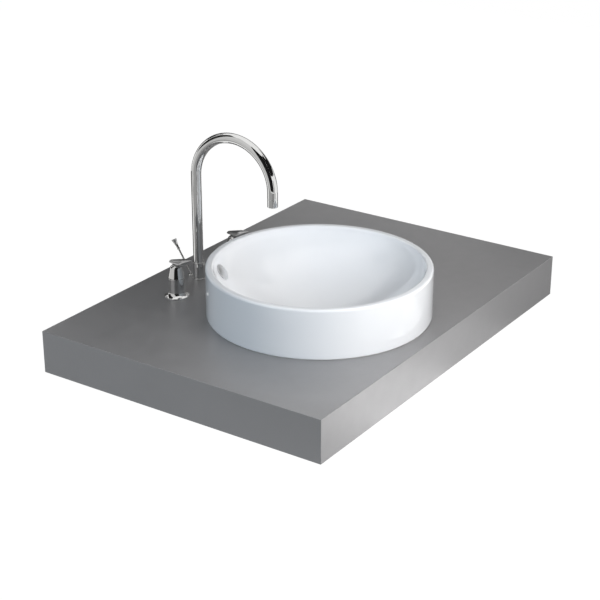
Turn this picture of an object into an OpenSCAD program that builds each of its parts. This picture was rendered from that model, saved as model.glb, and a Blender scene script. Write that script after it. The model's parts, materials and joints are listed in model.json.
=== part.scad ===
// Countertop basin: a round glazed basin let into a hollow counter slab, with a
// three-hole tap, a pop-up waste and its under-counter fittings. Millimetres.
// The origin is on the basin's axis, in the plane of the counter's underside.
// X runs along the counter, Y towards the wall behind it and Z up.

/* [Counter] */
// Length of the counter along the wall
counter_length = 944; // [900:1:1100]
// Depth of the counter from front to back
counter_depth = 674; // [660:1:740]
// Height of the counter's edge
counter_height = 92; // [84:1:110]
// Thickness of the top and of the aprons
panel_t = 20; // [15:1:24]
// Distance from the basin's axis to the counter's left end
left_reach = 397; // [350:1:420]
// Distance from the basin's axis to the counter's front edge
front_reach = 268; // [255:1:280]
// Radius of the cut-out under the basin
cutout_r = 175; // [170:1:190]
// Width of each support rail under the top
rail_w = 60; // [50:1:64]
// Distance between the two rails' centre lines
rail_spacing = 372; // [366:1:376]
// Distance between the bracket holes along a rail
bracket_spacing = 600; // [560:1:640]
// Radius of the bracket holes
bracket_hole_r = 4; // [3:0.5:5]
// Depth of the bracket holes
bracket_hole_depth = 40; // [30:1:50]

/* [Basin] */
// Outer radius of the basin
basin_r = 234; // [222:1:236]
// Height of the rim above the counter
basin_rise = 105; // [95:1:120]
// Width of the rim
rim_w = 16; // [14:1:20]
// Rounding of the rim's outer edge
rim_outer_round = 5; // [3:0.5:6]
// Rounding of the rim's inner edge
rim_inner_round = 4; // [3:0.5:6]
// Depth of the bowl below the rim
bowl_depth = 127; // [120:1:132]
// Exponent of the bowl's curve, where 2 is an ellipse
bowl_curve = 1.65; // [1.6:0.05:1.9]
// Wall of the bowl
shell_t = 10; // [8:0.5:12]
// Wall of the upright skirt
skirt_t = 12; // [10:0.5:14]
// Gap under the skirt that the seal fills
seal_t = 1; // [0.8:0.1:2]
// Width of the seal under the skirt
seal_w = 10; // [6:1:11]

/* [Overflow] */
// Direction of the overflow round the basin, from +X
overflow_azimuth = 115; // [100:1:120]
// Depth of the overflow's centre below the rim
overflow_depth = 32; // [30:1:38]
// Radius of the overflow hole
overflow_hole_r = 12; // [10:0.5:13]
// Radius of the round overflow cover
overflow_cover_r = 17.5; // [16:0.5:18]
// Gap between the cover's back and the wall
overflow_standoff = 2; // [2:0.25:3]
// Depth of the overflow channel behind the bowl's wall
channel_t = 10; // [8:0.5:11]
// Width of the overflow channel
channel_w = 26; // [25:1:30]
// Wall round the overflow channel
channel_wall = 8; // [6:0.5:9]

/* [Waste] */
// Radius of the waste hole through the basin
waste_hole_r = 23; // [22.5:0.5:24]
// Radius of the waste body's thread
waste_thread_r = 20.9; // [20:0.1:21.5]
// Radius of the waste's bore
waste_bore_r = 17.5; // [16.5:0.1:18]
// Radius of the waste's flange
waste_flange_r = 31.5; // [30:0.5:33]
// Height of the pivot rod's ball below the counter's underside
pivot_drop = 30; // [26:1:40]
// Distance from the waste's axis to the ball
pivot_arm = 43; // [40:1:46]
// Radius of the ball on the pivot rod
ball_r = 8; // [7:0.5:9]
// Radius of the pivot rod
pivot_rod_r = 2.5; // [2:0.25:3]
// Radius of the tailpiece
tail_r = 16; // [15:0.5:16.5]
// Length of the tailpiece below the tee
tail_length = 88; // [60:1:140]
// Wall of the tailpiece
tail_wall = 1.5; // [1:0.1:2]

/* [Spout] */
// Distance that the spout stands behind the middle of the strip between basin and back edge
spout_shift = -6; // [-6:1:6]
// Radius of the spout's tube
tube_r = 11; // [10:0.5:12]
// Wall of the spout's tube
tube_wall = 1.5; // [1.2:0.1:2]
// Radius of the gooseneck's bend, to the tube's centre
bend_r = 99; // [90:1:110]
// Height above the counter where the bend begins
bend_rise = 235; // [200:1:260]
// Straight length below the bend on the outlet side
outlet_drop = 30; // [26:1:40]
// Height of the aerator's shell
aerator_h = 18; // [14:1:20]
// Radius of the collar at the spout's foot
collar_r = 12.7; // [12.5:0.1:15]
// Height of the collar at the spout's foot
collar_h = 36; // [30:1:45]
// Radius of the fixed ring under the spout
base_ring_r = 14; // [13.5:0.1:16]
// Height of the fixed ring under the spout
base_ring_h = 3; // [2:0.5:5]

/* [Handles] */
// Distance between the two handles
handle_spacing = 203.2; // [190:0.2:216]
// Distance that the handles stand in front of the spout
handles_ahead = 20; // [18:1:30]
// Radius of the flared flange
flange_r = 26.5; // [25:0.5:29]
// Height of the flared flange
flange_h = 11; // [10:0.5:14]
// Radius of the fixed cover and the hub's foot
cover_r = 17.5; // [16:0.5:18]
// Height of the seam between the cover and the hub
cover_top = 41; // [38:0.5:44]
// Height of the hub's top
hub_top = 71; // [70:0.5:76]
// Radius of the hub near its top
hub_top_r = 13.5; // [12:0.5:14]
// Reach of the lever's tip in front of the hub's axis
lever_front = 42; // [36:1:50]
// Reach of the lever's blunt end behind the hub's axis
lever_back = 16.5; // [15:0.5:18]
// Width of the lever
lever_w = 27; // [24:1:30]
// Thickness of the lever where it is widest
lever_t = 15.5; // [13:0.5:16]
// Slope of the lever towards its tip
lever_rise = 13; // [12:1:15]
// Radius of the valve's threaded neck
neck_r = 12; // [11.5:0.1:12.4]
// Radius of the inlet thread
inlet_r = 10.48; // [10.4:0.01:10.6]

/* [Lift rod] */
// Distance from the spout's axis back to the lift rod
lift_back = 23; // [22:0.5:26]
// Radius of the lift rod
lift_rod_r = 2; // [1.8:0.1:2.2]
// Travel of the lift rod
lift_travel = 42; // [36:1:44]
// Lean of the rod's upper end from upright
lift_lean = 33; // [25:1:36]
// Length of the leaning part
lean_length = 78; // [60:1:80]
// Radius of the knob at its flared end
knob_r = 5.75; // [4:0.25:6]
// Length of the knob
knob_length = 24; // [10:1:28]

/* [Clearances] */
// Clearance between bodies that turn or slide on each other
running_gap = 0.06; // [0.04:0.01:0.08]
// Clearance between curved faces that lie near each other
near_gap = 0.3; // [0.25:0.05:0.4]
// Clearance round a bolt, neck or body in its hole
hole_gap = 0.6; // [0.4:0.1:0.8]

/* [Hidden] */
$fn = 96;

// How far a cut, or a solid that joins another, runs past a face
over = 1;

// Counter
top_z = counter_height;
panel_z = top_z - panel_t;
x0 = -left_reach;
x1 = x0 + counter_length;
y0 = -front_reach;
y1 = y0 + counter_depth;
spout_y = (basin_r + y1) / 2 + spout_shift;
handle_y = spout_y - handles_ahead;
rail_screw_r = 3;
rail_screw_head_r = 6;
rail_screw_head_h = 5;
rail_screw_sunk = 1;
rail_screw_seat = rail_screw_sunk + rail_screw_head_h;
rail_screw_bite = 12;
rail_screw_x = [
    (x0 + panel_t - bracket_spacing / 2) / 2, -(cutout_r + bracket_spacing / 2) / 2,
    (cutout_r + bracket_spacing / 2) / 2, (x1 - panel_t + bracket_spacing / 2) / 2
];

// Basin
rim_z = top_z + basin_rise;
foot_z = top_z + seal_t;
bowl_r = basin_r - rim_w;
skirt_inner_r = basin_r - skirt_t;
floor_z = rim_z - bowl_depth;
curve_steps = 24;
rim_round_end = 170;
seal_inset = 1;
// How far parts of the casting run into each other
weld = 4;
channel_margin = 1;
wall_clear = 20;

// Waste
recess_gap = 1;
recess_r = waste_flange_r + recess_gap;
recess_depth = 4;
seat_z = floor_z - recess_depth;
flange_seal_t = 1;
flange_seal_inset = 1;
flange_z = seat_z + flange_seal_t;
flange_t = 2.5;
flange_slope = 1.5;
flange_top_z = flange_z + flange_t;
boss_r = 38;
boss_z = floor_z - shell_t - channel_t - channel_wall;
gasket_h = 8;
washer_h = 2;
waste_nut_h = 10;
waste_nut_r = 30;
nut_sides = 8;
washer_inset = 1;
gasket_inset = 2;
gasket_margin = 4;
thread_below_nut = 20;
nut_z = boss_z - gasket_h - washer_h - waste_nut_h;
waste_end_z = nut_z - thread_below_nut;
slot_w = 8;
slot_count = 3;
cone_r = 24;
cone_h = 7.5;
pivot_z = -pivot_drop;
tee_wall = 3;
tee_socket_h = 14;
tee_socket_r = waste_thread_r + tee_wall;
tee_shoulder = 6;
tee_lip = 0.5;
tail_step = 0.5;
tail_spigot_r = tail_r - tail_step;
tee_bore_r = tail_spigot_r - tee_lip;
tee_r = tail_r + tee_wall;
tee_leg = 32;
tee_end_z = pivot_z - tee_leg;
tail_socket_h = 14;
side_bore_r = ball_r - tee_lip;
seat_wall = 3;
seat_r = ball_r + seat_wall;
seat_half = 7;
side_wall = 2;
side_r = seat_r + side_wall;
nut_wall = 3;
rod_play = 2;
rod_hole_r = pivot_rod_r + rod_play;
rod_past_eye = 9;
rod_past_strap = 16;

// Lift linkage
lift_y = spout_y + lift_back;
strap_t = 1.2;
strap_w = 14;
strap_offset = 5;
strap_y = lift_y + strap_offset + strap_t / 2;
outer_arm = strap_y - pivot_arm;
swing = lift_travel / outer_arm * 180 / PI;
rest_tilt = swing / 2;
plug_lift = lift_travel * pivot_arm / outer_arm;
strap_hole_z = pivot_z - outer_arm * tan(rest_tilt);
strap_play = 0.5;
strap_hole_r = pivot_rod_r + strap_play;
strap_end = 7;
strap_step = 9;
strap_holes = 4;
clamp_z = strap_hole_z + strap_end + strap_holes * strap_step;
clamp_h = 16;
clamp_w = 12;
clamp_margin = 4;
rod_foot_z = clamp_z - clamp_margin;
strap_top_z = clamp_z + clamp_h + clamp_margin;
thumb_r = 4;
thumb_h = 3;
guide_r = 4.6;
guide_head_r = 5.5;
guide_head_h = 5;
guide_taper = 1.2;
guide_tail = 6;
bend_rest_gap = 1;
bend_z = top_z + guide_head_h + bend_rest_gap;
rod_bend_r = 8;
knob_socket = 4.2;
knob_wall = 0.7;
knob_bead = 0.8;
knob_bead_h = 2;
knob_round = 1.4;
flare_steps = 8;
clip_half = 6;
clip_t = 0.8;
clip_drop = 11;
clip_w = 9;

// Plug, drawn in its open place: the rest pose
plug_neck_r = 16.5;
plug_neck_h = 5;
plug_seal_r = 1.4;
plug_seal_drop = 0.6;
plug_disc_r = 21;
plug_crown_h = 3.5;
plug_dome_r = 120;
plug_sunk = 2;
plug_shut_z = flange_top_z - plug_sunk;
plug_z = plug_shut_z + plug_lift;
eye_play = 0.7;
eye_wall = 2.3;
eye_margin = 9;
eye_z = pivot_z + pivot_arm * tan(rest_tilt);
eye_r = pivot_rod_r + eye_play;
stem_r = eye_r + eye_wall;
fin_gap = 0.5;
fin_r = waste_bore_r - fin_gap;
fin_t = 1.6;
fin_h = 26;

// Spout
tube_bore_r = tube_r - tube_wall;
shank_r = 10;
shank_wall = 3.5;
spigot_r = tube_bore_r - running_gap;
shank_bore_r = spigot_r - shank_wall;
spigot_h = 60;
shank_drop = 34;
spout_hole_r = shank_r + hole_gap;
spout_washer_r = 16;
washer_t = 3;
spout_nut_r = 15.5;
spout_nut_h = 8;
spout_foot_z = top_z + base_ring_h + near_gap;
spring_z = top_z + bend_rise;
outlet_z = spring_z - outlet_drop;
screw_rise = 12;
screw_z = spout_foot_z + screw_rise;
screw_r = 1.5;
screw_sunk = 0.5;
groove_depth = 1.2;
collar_bevel = 0.6;
ring_bevel = 0.8;
aerator_bevel = 0.6;
jet_plate_t = 2;
jet_cup = 3;
jet_wall = 1.6;
jet_inset = 1.5;
jet_count = 8;
jet_r = 1.1;
jet_ring_r = 5;
tee_floor = 3;
tee_block_r = 12;
tee_reach = 22;
socket_depth = 8;
supply_r = 5;
supply_bore_r = 4;
seal_ring_r = 1.1;
seal_shares = [0.5, 0.8];
seal_touch = 0.02;

// Handles
hot_x = -handle_spacing / 2;
cold_x = handle_spacing / 2;
deck_play = 1.6;
deck_hole_r = neck_r + deck_play;
neck_top = 32;
flange_edge = 1.2;
flange_lip = 0.8;
cartridge_r = 9;
cartridge_drop = 3;
cartridge_top = cover_top - cartridge_drop;
cartridge_foot = 10;
cartridge_floor = 6;
cartridge_port_r = 2.2;
cartridge_port_x = 4.8;
spindle_r = 3.5;
spindle_drop = 12;
spindle_top = hub_top - spindle_drop;
valve_bore_r = 7;
valve_bore_depth = 6;
valve_neck_drop = 34;
valve_block_r = 14;
valve_block_top = panel_t + valve_neck_drop;
valve_block_h = 30;
inlet_bore_r = 6;
inlet_h = 30;
nipple_r = 7;
nipple_reach = 26;
port_z = top_z - valve_block_top - valve_block_h / 2;
valve_washer_r = 20;
valve_nut_r = 18;
valve_nut_h = 8;
hub_round = 10;
hub_bevel = 0.5;
hub_edge = 0.8;
hub_foot_h = 1.5;
hub_round_start = 12;
hub_screw_rise = 10;
hub_screw_sunk = 3;
hub_screw_z = cover_top + hub_screw_rise;
lever_lift = 7.5;
lever_z = hub_top + lever_lift;
lever_neck_r = hub_top_r - hub_round;
lever_heel_w = 13;
lever_heel_length = 8;
lever_heel_t = 6;
lever_tip_r = 1.5;
lever_crown_ahead = 17.5;
lever_crown_drop = 4;

// Radius of the bowl's curve at a depth, for a curve of half-width a and depth b
function bowl_radius(depth, a, b) = a * pow(1 - pow(depth / b, bowl_curve), 1 / bowl_curve);

// Points along the curve from radius r_from to radius r_to
function curve_points(a, b, r_from, r_to) =
    let (t_from = acos(pow(r_from / a, bowl_curve / 2)), t_to = acos(pow(r_to / a, bowl_curve / 2)))
    [for (i = [0:curve_steps])
        let (t = t_from + (t_to - t_from) * i / curve_steps)
        [a * pow(cos(t), 2 / bowl_curve), rim_z - b * pow(sin(t), 2 / bowl_curve)]];

// Points of an arc round a centre
function arc_points(cx, cy, r, from, to, steps = 8) =
    [for (i = [0:steps])
        let (t = from + (to - from) * i / steps)
        [cx + r * cos(t), cy + r * sin(t)]];

// Overflow
overflow_r = bowl_radius(overflow_depth, bowl_r, bowl_depth);
overflow_z = rim_z - overflow_depth;
overflow_lean = atan(bowl_r / bowl_depth
    * pow(overflow_depth / bowl_depth, bowl_curve - 1)
    / pow(overflow_r / bowl_r, bowl_curve - 1));
insert_lip = 2;
insert_flange_r = overflow_hole_r + insert_lip;
insert_flange_t = 1;
insert_wall = 1.5;
insert_past = 3;
insert_length = shell_t + insert_past;
cover_t = 3.4;
cover_dome_r = 90;
cover_ring_wall = 1.2;
cover_ring_r = overflow_hole_r - insert_wall - running_gap;
cover_slot_w = 6;
cover_slot_gap = 0.2;

// Puts children on the bowl's wall at the overflow, with local Z along the wall's normal
module at_overflow() {
    rotate([0, 0, overflow_azimuth])
        translate([overflow_r, 0, overflow_z])
            rotate([0, overflow_lean - 90, 0])
                children();
}

module tube(r, bore, h) {
    difference() {
        cylinder(r = r, h = h);
        translate([0, 0, -over])
            cylinder(r = bore, h = h + 2 * over);
    }
}

// Counter

module counter_holes() {
    depth = panel_t + 2 * over;
    translate([0, 0, panel_z - over]) {
        cylinder(r = cutout_r, h = depth);
        for (x = [hot_x, cold_x])
            translate([x, handle_y, 0])
                cylinder(r = deck_hole_r, h = depth);
        translate([0, spout_y, 0])
            cylinder(r = spout_hole_r, h = depth);
        translate([0, lift_y, 0])
            cylinder(r = guide_r + running_gap, h = depth);
    }
}

module rail_screw_places() {
    for (x = rail_screw_x, s = [-1, 1])
        translate([x, s * rail_spacing / 2, 0])
            children();
}

module counter_top() {
    color([0.5, 0.5, 0.5])
        difference() {
            intersection() {
                translate([0, y1, 0])
                    rotate([90, 0, 0])
                        linear_extrude(height = counter_depth)
                            polygon([
                                [x0, top_z], [x0 + panel_t, panel_z],
                                [x1 - panel_t, panel_z], [x1, top_z]
                            ]);
                translate([x0, 0, 0])
                    rotate([90, 0, 90])
                        linear_extrude(height = counter_length)
                            polygon([
                                [y0, top_z], [y0 + panel_t, panel_z],
                                [y1 - panel_t, panel_z], [y1, top_z]
                            ]);
            }
            counter_holes();
            rail_screw_places()
                cylinder(r = rail_screw_r, h = panel_z + rail_screw_bite);
        }
}

// Section of an apron: the upper end is mitred to meet the top
module apron_section() {
    polygon([[0, 0], [0, top_z], [panel_t, panel_z], [panel_t, 0]]);
}

// An apron of a given length along Y, with its outer face at x = 0 and mitred ends
module apron(length) {
    intersection() {
        translate([0, length, 0])
            rotate([90, 0, 0])
                linear_extrude(height = length)
                    apron_section();
        linear_extrude(height = top_z)
            polygon([[0, 0], [panel_t, panel_t], [panel_t, length - panel_t], [0, length]]);
    }
}

module counter_left() {
    color([0.48, 0.48, 0.48])
        translate([x0, y0, 0])
            apron(counter_depth);
}

module counter_right() {
    color([0.48, 0.48, 0.48])
        translate([x1, y1, 0])
            rotate([0, 0, 180])
                apron(counter_depth);
}

module counter_front() {
    color([0.6, 0.6, 0.6])
        translate([x1, y0, 0])
            rotate([0, 0, 90])
                apron(counter_length);
}

module counter_back() {
    color([0.48, 0.48, 0.48])
        translate([x0, y1, 0])
            rotate([0, 0, -90])
                apron(counter_length);
}

module support_rails() {
    color([0.72, 0.56, 0.38])
        difference() {
            for (s = [-1, 1])
                translate([x0 + panel_t, s * rail_spacing / 2 - rail_w / 2, 0])
                    cube([counter_length - 2 * panel_t, rail_w, panel_z]);
            for (i = [-1, 1], s = [-1, 1])
                translate([i * bracket_spacing / 2, s * rail_spacing / 2, -over])
                    cylinder(r = bracket_hole_r, h = bracket_hole_depth + over);
            rail_screw_places()
                translate([0, 0, -over]) {
                    cylinder(r = rail_screw_r + hole_gap / 2, h = panel_z + 2 * over);
                    cylinder(r = rail_screw_head_r + hole_gap / 2, h = rail_screw_seat + over);
                }
        }
}

module rail_screws() {
    tip_z = panel_z + rail_screw_bite - over;
    color([0.75, 0.75, 0.78])
        rail_screw_places() {
            translate([0, 0, rail_screw_sunk])
                cylinder(r = rail_screw_head_r, h = rail_screw_head_h);
            translate([0, 0, rail_screw_seat - over])
                cylinder(r = rail_screw_r, h = tip_z - rail_screw_seat + over);
        }
}

// Basin

// Half of the basin's section: bowl, rim, skirt and drain boss in one glazed piece
module basin_section() {
    polygon(concat(
        [[waste_hole_r, boss_z], [boss_r, boss_z]],
        curve_points(bowl_r + shell_t, bowl_depth + shell_t, boss_r, skirt_inner_r),
        [[skirt_inner_r, foot_z], [basin_r, foot_z]],
        arc_points(basin_r - rim_outer_round, rim_z - rim_outer_round, rim_outer_round, 0, 90),
        arc_points(bowl_r + rim_inner_round, rim_z - rim_inner_round, rim_inner_round, 90, rim_round_end),
        curve_points(bowl_r, bowl_depth, bowl_radius(rim_inner_round, bowl_r, bowl_depth), recess_r),
        [[recess_r, seat_z], [waste_hole_r, seat_z]]
    ));
}

// Band under the bowl in the overflow's plane, between two offsets of its curve
module channel_band(from, to, r_in, r_out, top) {
    intersection() {
        polygon(concat(
            curve_points(bowl_r + from, bowl_depth + from, bowl_r + from, 0.1),
            [[-boss_r, rim_z - bowl_depth - from], [-boss_r, rim_z - bowl_depth - to]],
            curve_points(bowl_r + to, bowl_depth + to, 0.1, bowl_r + to)
        ));
        translate([r_in, 0])
            square([r_out - r_in, top]);
    }
}

// Stands a section of the overflow's plane up, with a width across it
module channel_slab(width) {
    rotate([0, 0, overflow_azimuth])
        translate([0, width / 2, 0])
            rotate([90, 0, 0])
                linear_extrude(height = width)
                    children();
}

module basin() {
    duct = channel_t + channel_wall;
    color([0.93, 0.94, 0.96])
        difference() {
            union() {
                rotate_extrude($fn = 180)
                    basin_section();
                channel_slab(channel_w + 2 * channel_wall)
                    channel_band(shell_t - weld, shell_t + duct, boss_r - weld, skirt_inner_r + weld,
                        overflow_z + overflow_hole_r + weld);
            }
            channel_slab(channel_w)
                channel_band(shell_t, shell_t + channel_t, waste_hole_r - weld,
                    skirt_inner_r - channel_margin, overflow_z + overflow_hole_r - weld);
            at_overflow() {
                translate([0, 0, -shell_t - weld])
                    cylinder(r = overflow_hole_r, h = shell_t + weld + wall_clear);
                translate([0, 0, -insert_flange_t])
                    cylinder(r = insert_flange_r + near_gap, h = wall_clear);
            }
        }
}

module basin_seal() {
    color([0.9, 0.9, 0.88])
        translate([0, 0, top_z])
            tube(skirt_inner_r + seal_inset + seal_w, skirt_inner_r + seal_inset, seal_t);
}

module overflow_insert() {
    color([0.92, 0.92, 0.92])
        at_overflow()
            difference() {
                union() {
                    translate([0, 0, -insert_flange_t])
                        cylinder(r = insert_flange_r, h = insert_flange_t);
                    translate([0, 0, -insert_length])
                        cylinder(r = overflow_hole_r - running_gap, h = insert_length);
                }
                translate([0, 0, -insert_length - over])
                    cylinder(r = overflow_hole_r - insert_wall, h = insert_length + 2 * over);
            }
}

module overflow_cover() {
    reach = cover_ring_r + over;
    color([0.78, 0.78, 0.8])
        at_overflow()
            difference() {
                union() {
                    intersection() {
                        translate([0, 0, overflow_standoff])
                            cylinder(r = overflow_cover_r, h = cover_t + over);
                        translate([0, 0, overflow_standoff + cover_t - cover_dome_r])
                            sphere(r = cover_dome_r, $fn = 180);
                    }
                    translate([0, 0, -shell_t])
                        cylinder(r = cover_ring_r, h = shell_t + overflow_standoff + over);
                }
                translate([0, 0, -shell_t - over])
                    cylinder(r = cover_ring_r - cover_ring_wall, h = shell_t + overflow_standoff + over);
                for (i = [0:slot_count - 1])
                    rotate([0, 0, i * 180 / slot_count])
                        translate([-reach, -cover_slot_w / 2, cover_slot_gap])
                            cube([2 * reach, cover_slot_w, overflow_standoff - 2 * cover_slot_gap]);
            }
}

// Waste

// The waste's bore, which opens into the plug's seat
module waste_bore() {
    rotate_extrude()
        polygon([
            [0, waste_end_z - over], [waste_bore_r, waste_end_z - over],
            [waste_bore_r, flange_top_z - cone_h], [cone_r, flange_top_z],
            [cone_r, flange_top_z + over], [0, flange_top_z + over]
        ]);
}

module waste_body() {
    reach = waste_thread_r + over;
    color([0.82, 0.82, 0.84])
        difference() {
            union() {
                translate([0, 0, flange_z])
                    cylinder(r1 = waste_flange_r, r2 = waste_flange_r - flange_slope, h = flange_t);
                translate([0, 0, waste_end_z])
                    cylinder(r = waste_thread_r, h = flange_z - waste_end_z + over);
            }
            waste_bore();
            for (i = [0:slot_count - 1])
                rotate([0, 0, i * 180 / slot_count])
                    translate([-reach, -slot_w / 2, boss_z + channel_wall])
                        cube([2 * reach, slot_w, channel_t]);
        }
}

module waste_flange_seal() {
    color([0.15, 0.15, 0.15])
        translate([0, 0, seat_z])
            tube(waste_flange_r - flange_seal_inset, waste_hole_r + flange_seal_inset, flange_seal_t);
}

module waste_gasket() {
    color([0.12, 0.12, 0.12])
        translate([0, 0, boss_z - gasket_h])
            difference() {
                cylinder(r1 = waste_nut_r - gasket_inset, r2 = boss_r - gasket_margin, h = gasket_h);
                translate([0, 0, -over])
                    cylinder(r = waste_thread_r + running_gap, h = gasket_h + 2 * over);
            }
}

module waste_washer() {
    color([0.85, 0.85, 0.8])
        translate([0, 0, nut_z + waste_nut_h])
            tube(waste_nut_r - washer_inset, waste_thread_r + running_gap, washer_h);
}

module waste_nut() {
    color([0.75, 0.6, 0.3])
        translate([0, 0, nut_z])
            difference() {
                cylinder(r = waste_nut_r, h = waste_nut_h, $fn = nut_sides);
                translate([0, 0, -over])
                    cylinder(r = waste_thread_r + running_gap, h = waste_nut_h + 2 * over);
            }
}

// Places children along the side branch, with local Z along +Y from the waste's axis
module along_branch() {
    translate([0, 0, pivot_z])
        rotate([-90, 0, 0])
            children();
}

module waste_tee() {
    color([0.8, 0.8, 0.82])
        difference() {
            union() {
                translate([0, 0, waste_end_z - tee_shoulder])
                    cylinder(r = tee_socket_r, h = tee_socket_h + tee_shoulder);
                translate([0, 0, tee_end_z])
                    cylinder(r = tee_r, h = waste_end_z - tee_shoulder + over - tee_end_z);
                along_branch()
                    cylinder(r = side_r, h = pivot_arm + seat_half);
            }
            translate([0, 0, waste_end_z])
                cylinder(r = waste_thread_r + running_gap, h = tee_socket_h + over);
            translate([0, 0, tee_end_z - over]) {
                cylinder(r = tee_bore_r, h = waste_end_z - tee_end_z + 2 * over);
                cylinder(r = tail_spigot_r + running_gap, h = tail_socket_h + over);
            }
            along_branch() {
                cylinder(r = side_bore_r, h = pivot_arm + seat_half + over);
                translate([0, 0, pivot_arm - seat_half])
                    cylinder(r = seat_r + running_gap, h = 2 * seat_half + over);
            }
        }
}

// The tailpiece, with a slimmer spigot that goes up into the tee
module tailpiece() {
    whole = tail_length + tail_socket_h;
    color([0.85, 0.85, 0.87])
        translate([0, 0, tee_end_z - tail_length])
            difference() {
                union() {
                    cylinder(r = tail_r, h = tail_length);
                    cylinder(r = tail_spigot_r, h = whole);
                }
                translate([0, 0, -over])
                    cylinder(r = tail_r - tail_wall, h = whole + 2 * over);
            }
}

module pivot_seat() {
    color([0.9, 0.9, 0.9])
        along_branch()
            translate([0, 0, pivot_arm - seat_half])
                tube(seat_r, ball_r + running_gap, 2 * seat_half);
}

module pivot_nut() {
    color([0.82, 0.82, 0.84])
        along_branch()
            translate([0, 0, pivot_arm])
                difference() {
                    cylinder(r = side_r + nut_wall, h = seat_half + nut_wall, $fn = 12);
                    translate([0, 0, -over])
                        cylinder(r = side_r + running_gap, h = seat_half + over);
                    translate([0, 0, seat_half - over])
                        cylinder(r = rod_hole_r, h = nut_wall + 2 * over);
                }
}

// Places children on the pivot rod at rest, with local Z along the rod from the ball
module along_pivot_rod() {
    translate([0, pivot_arm, pivot_z])
        rotate([-90 - rest_tilt, 0, 0])
            children();
}

module pivot_rod() {
    inner = pivot_arm + rod_past_eye;
    color([0.8, 0.8, 0.82])
        along_pivot_rod() {
            sphere(r = ball_r);
            translate([0, 0, -inner])
                cylinder(r = pivot_rod_r, h = inner + outer_arm + rod_past_strap);
        }
}

module spring_clip() {
    color([0.7, 0.7, 0.72])
        along_pivot_rod()
            translate([0, 0, outer_arm]) {
                difference() {
                    for (s = [-1, 1])
                        translate([-clip_w / 2, -clip_w / 2, s * clip_half - clip_t / 2])
                            cube([clip_w, clip_w / 2 + clip_drop, clip_t]);
                    translate([0, 0, -clip_half - over])
                        cylinder(r = pivot_rod_r + running_gap, h = 2 * (clip_half + over));
                }
                translate([-clip_w / 2, clip_drop - clip_t, -clip_half])
                    cube([clip_w, clip_t, 2 * clip_half]);
            }
}

// Plug

module plug_cap() {
    color([0.8, 0.8, 0.82])
        difference() {
            union() {
                translate([0, 0, plug_z - plug_neck_h])
                    cylinder(r = plug_neck_r, h = plug_neck_h + over);
                intersection() {
                    translate([0, 0, plug_z])
                        cylinder(r = plug_disc_r, h = plug_crown_h + over);
                    translate([0, 0, plug_z + plug_crown_h - plug_dome_r])
                        sphere(r = plug_dome_r, $fn = 180);
                }
            }
            translate([0, 0, plug_z - plug_neck_h - over])
                cylinder(r = stem_r + running_gap, h = plug_neck_h);
        }
}

module plug_seal() {
    color([0.1, 0.1, 0.1])
        translate([0, 0, plug_z - plug_seal_r - plug_seal_drop])
            rotate_extrude()
                translate([plug_neck_r + plug_seal_r + running_gap, 0])
                    circle(r = plug_seal_r, $fn = 32);
}

module plug_stem() {
    neck_z = plug_z - plug_neck_h;
    foot_z = eye_z - eye_margin;
    color([0.85, 0.85, 0.85])
        difference() {
            union() {
                translate([0, 0, foot_z])
                    cylinder(r = stem_r, h = plug_z - over - foot_z);
                for (a = [45, 135])
                    rotate([0, 0, a])
                        translate([-fin_r, -fin_t / 2, neck_z - fin_h])
                            cube([2 * fin_r, fin_t, fin_h - near_gap]);
            }
            translate([0, -stem_r - over, eye_z])
                rotate([-90, 0, 0])
                    cylinder(r = eye_r, h = 2 * (stem_r + over));
        }
}

// Lift rod

// Places children where the rod's bend ends, with local Z along the leaning part
module at_lean() {
    translate([0, lift_y + rod_bend_r * (1 - cos(lift_lean)), bend_z + rod_bend_r * sin(lift_lean)])
        rotate([-lift_lean, 0, 0])
            children();
}

module lift_rod() {
    color([0.8, 0.8, 0.82]) {
        translate([0, lift_y, rod_foot_z])
            cylinder(r = lift_rod_r, h = bend_z - rod_foot_z);
        translate([0, lift_y + rod_bend_r, bend_z])
            rotate([90, 0, -90])
                rotate_extrude(angle = lift_lean)
                    translate([rod_bend_r, 0])
                        circle(r = lift_rod_r);
        at_lean()
            cylinder(r = lift_rod_r, h = lean_length - knob_length + knob_socket - near_gap);
    }
}

module lift_knob() {
    neck = lift_rod_r + knob_wall;
    bore = lift_rod_r + running_gap;
    flare_h = knob_length - knob_round - knob_bead_h;
    color([0.8, 0.8, 0.82])
        at_lean()
            translate([0, 0, lean_length - knob_length])
                rotate_extrude()
                    polygon(concat(
                        [[bore, 0], [neck + knob_bead, 0], [neck + knob_bead, knob_bead_h]],
                        [for (i = [0:flare_steps - 1])
                            let (t = i / flare_steps)
                            [neck + (knob_r - neck) * pow(t, 2), knob_bead_h + flare_h * t]],
                        arc_points(knob_r - knob_round, knob_length - knob_round, knob_round, 0, 90),
                        [[0, knob_length], [0, knob_socket], [bore, knob_socket]]
                    ));
}

module lift_guide() {
    color([0.8, 0.8, 0.82])
        translate([0, lift_y, 0])
            difference() {
                union() {
                    translate([0, 0, top_z])
                        cylinder(r1 = guide_head_r, r2 = guide_head_r - guide_taper, h = guide_head_h);
                    translate([0, 0, panel_z - guide_tail])
                        cylinder(r = guide_r, h = guide_tail + panel_t + over);
                }
                translate([0, 0, panel_z - guide_tail - over])
                    cylinder(r = lift_rod_r + running_gap,
                        h = guide_tail + panel_t + guide_head_h + 2 * over);
            }
}

module rod_strap() {
    color([0.78, 0.78, 0.8])
        difference() {
            translate([-strap_w / 2, strap_y - strap_t / 2, strap_hole_z - strap_end])
                cube([strap_w, strap_t, strap_top_z - strap_hole_z + strap_end]);
            for (i = [0:strap_holes - 1])
                translate([0, strap_y - strap_t, strap_hole_z + i * strap_step])
                    rotate([-90, 0, 0])
                        cylinder(r = strap_hole_r, h = 2 * strap_t);
        }
}

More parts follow.
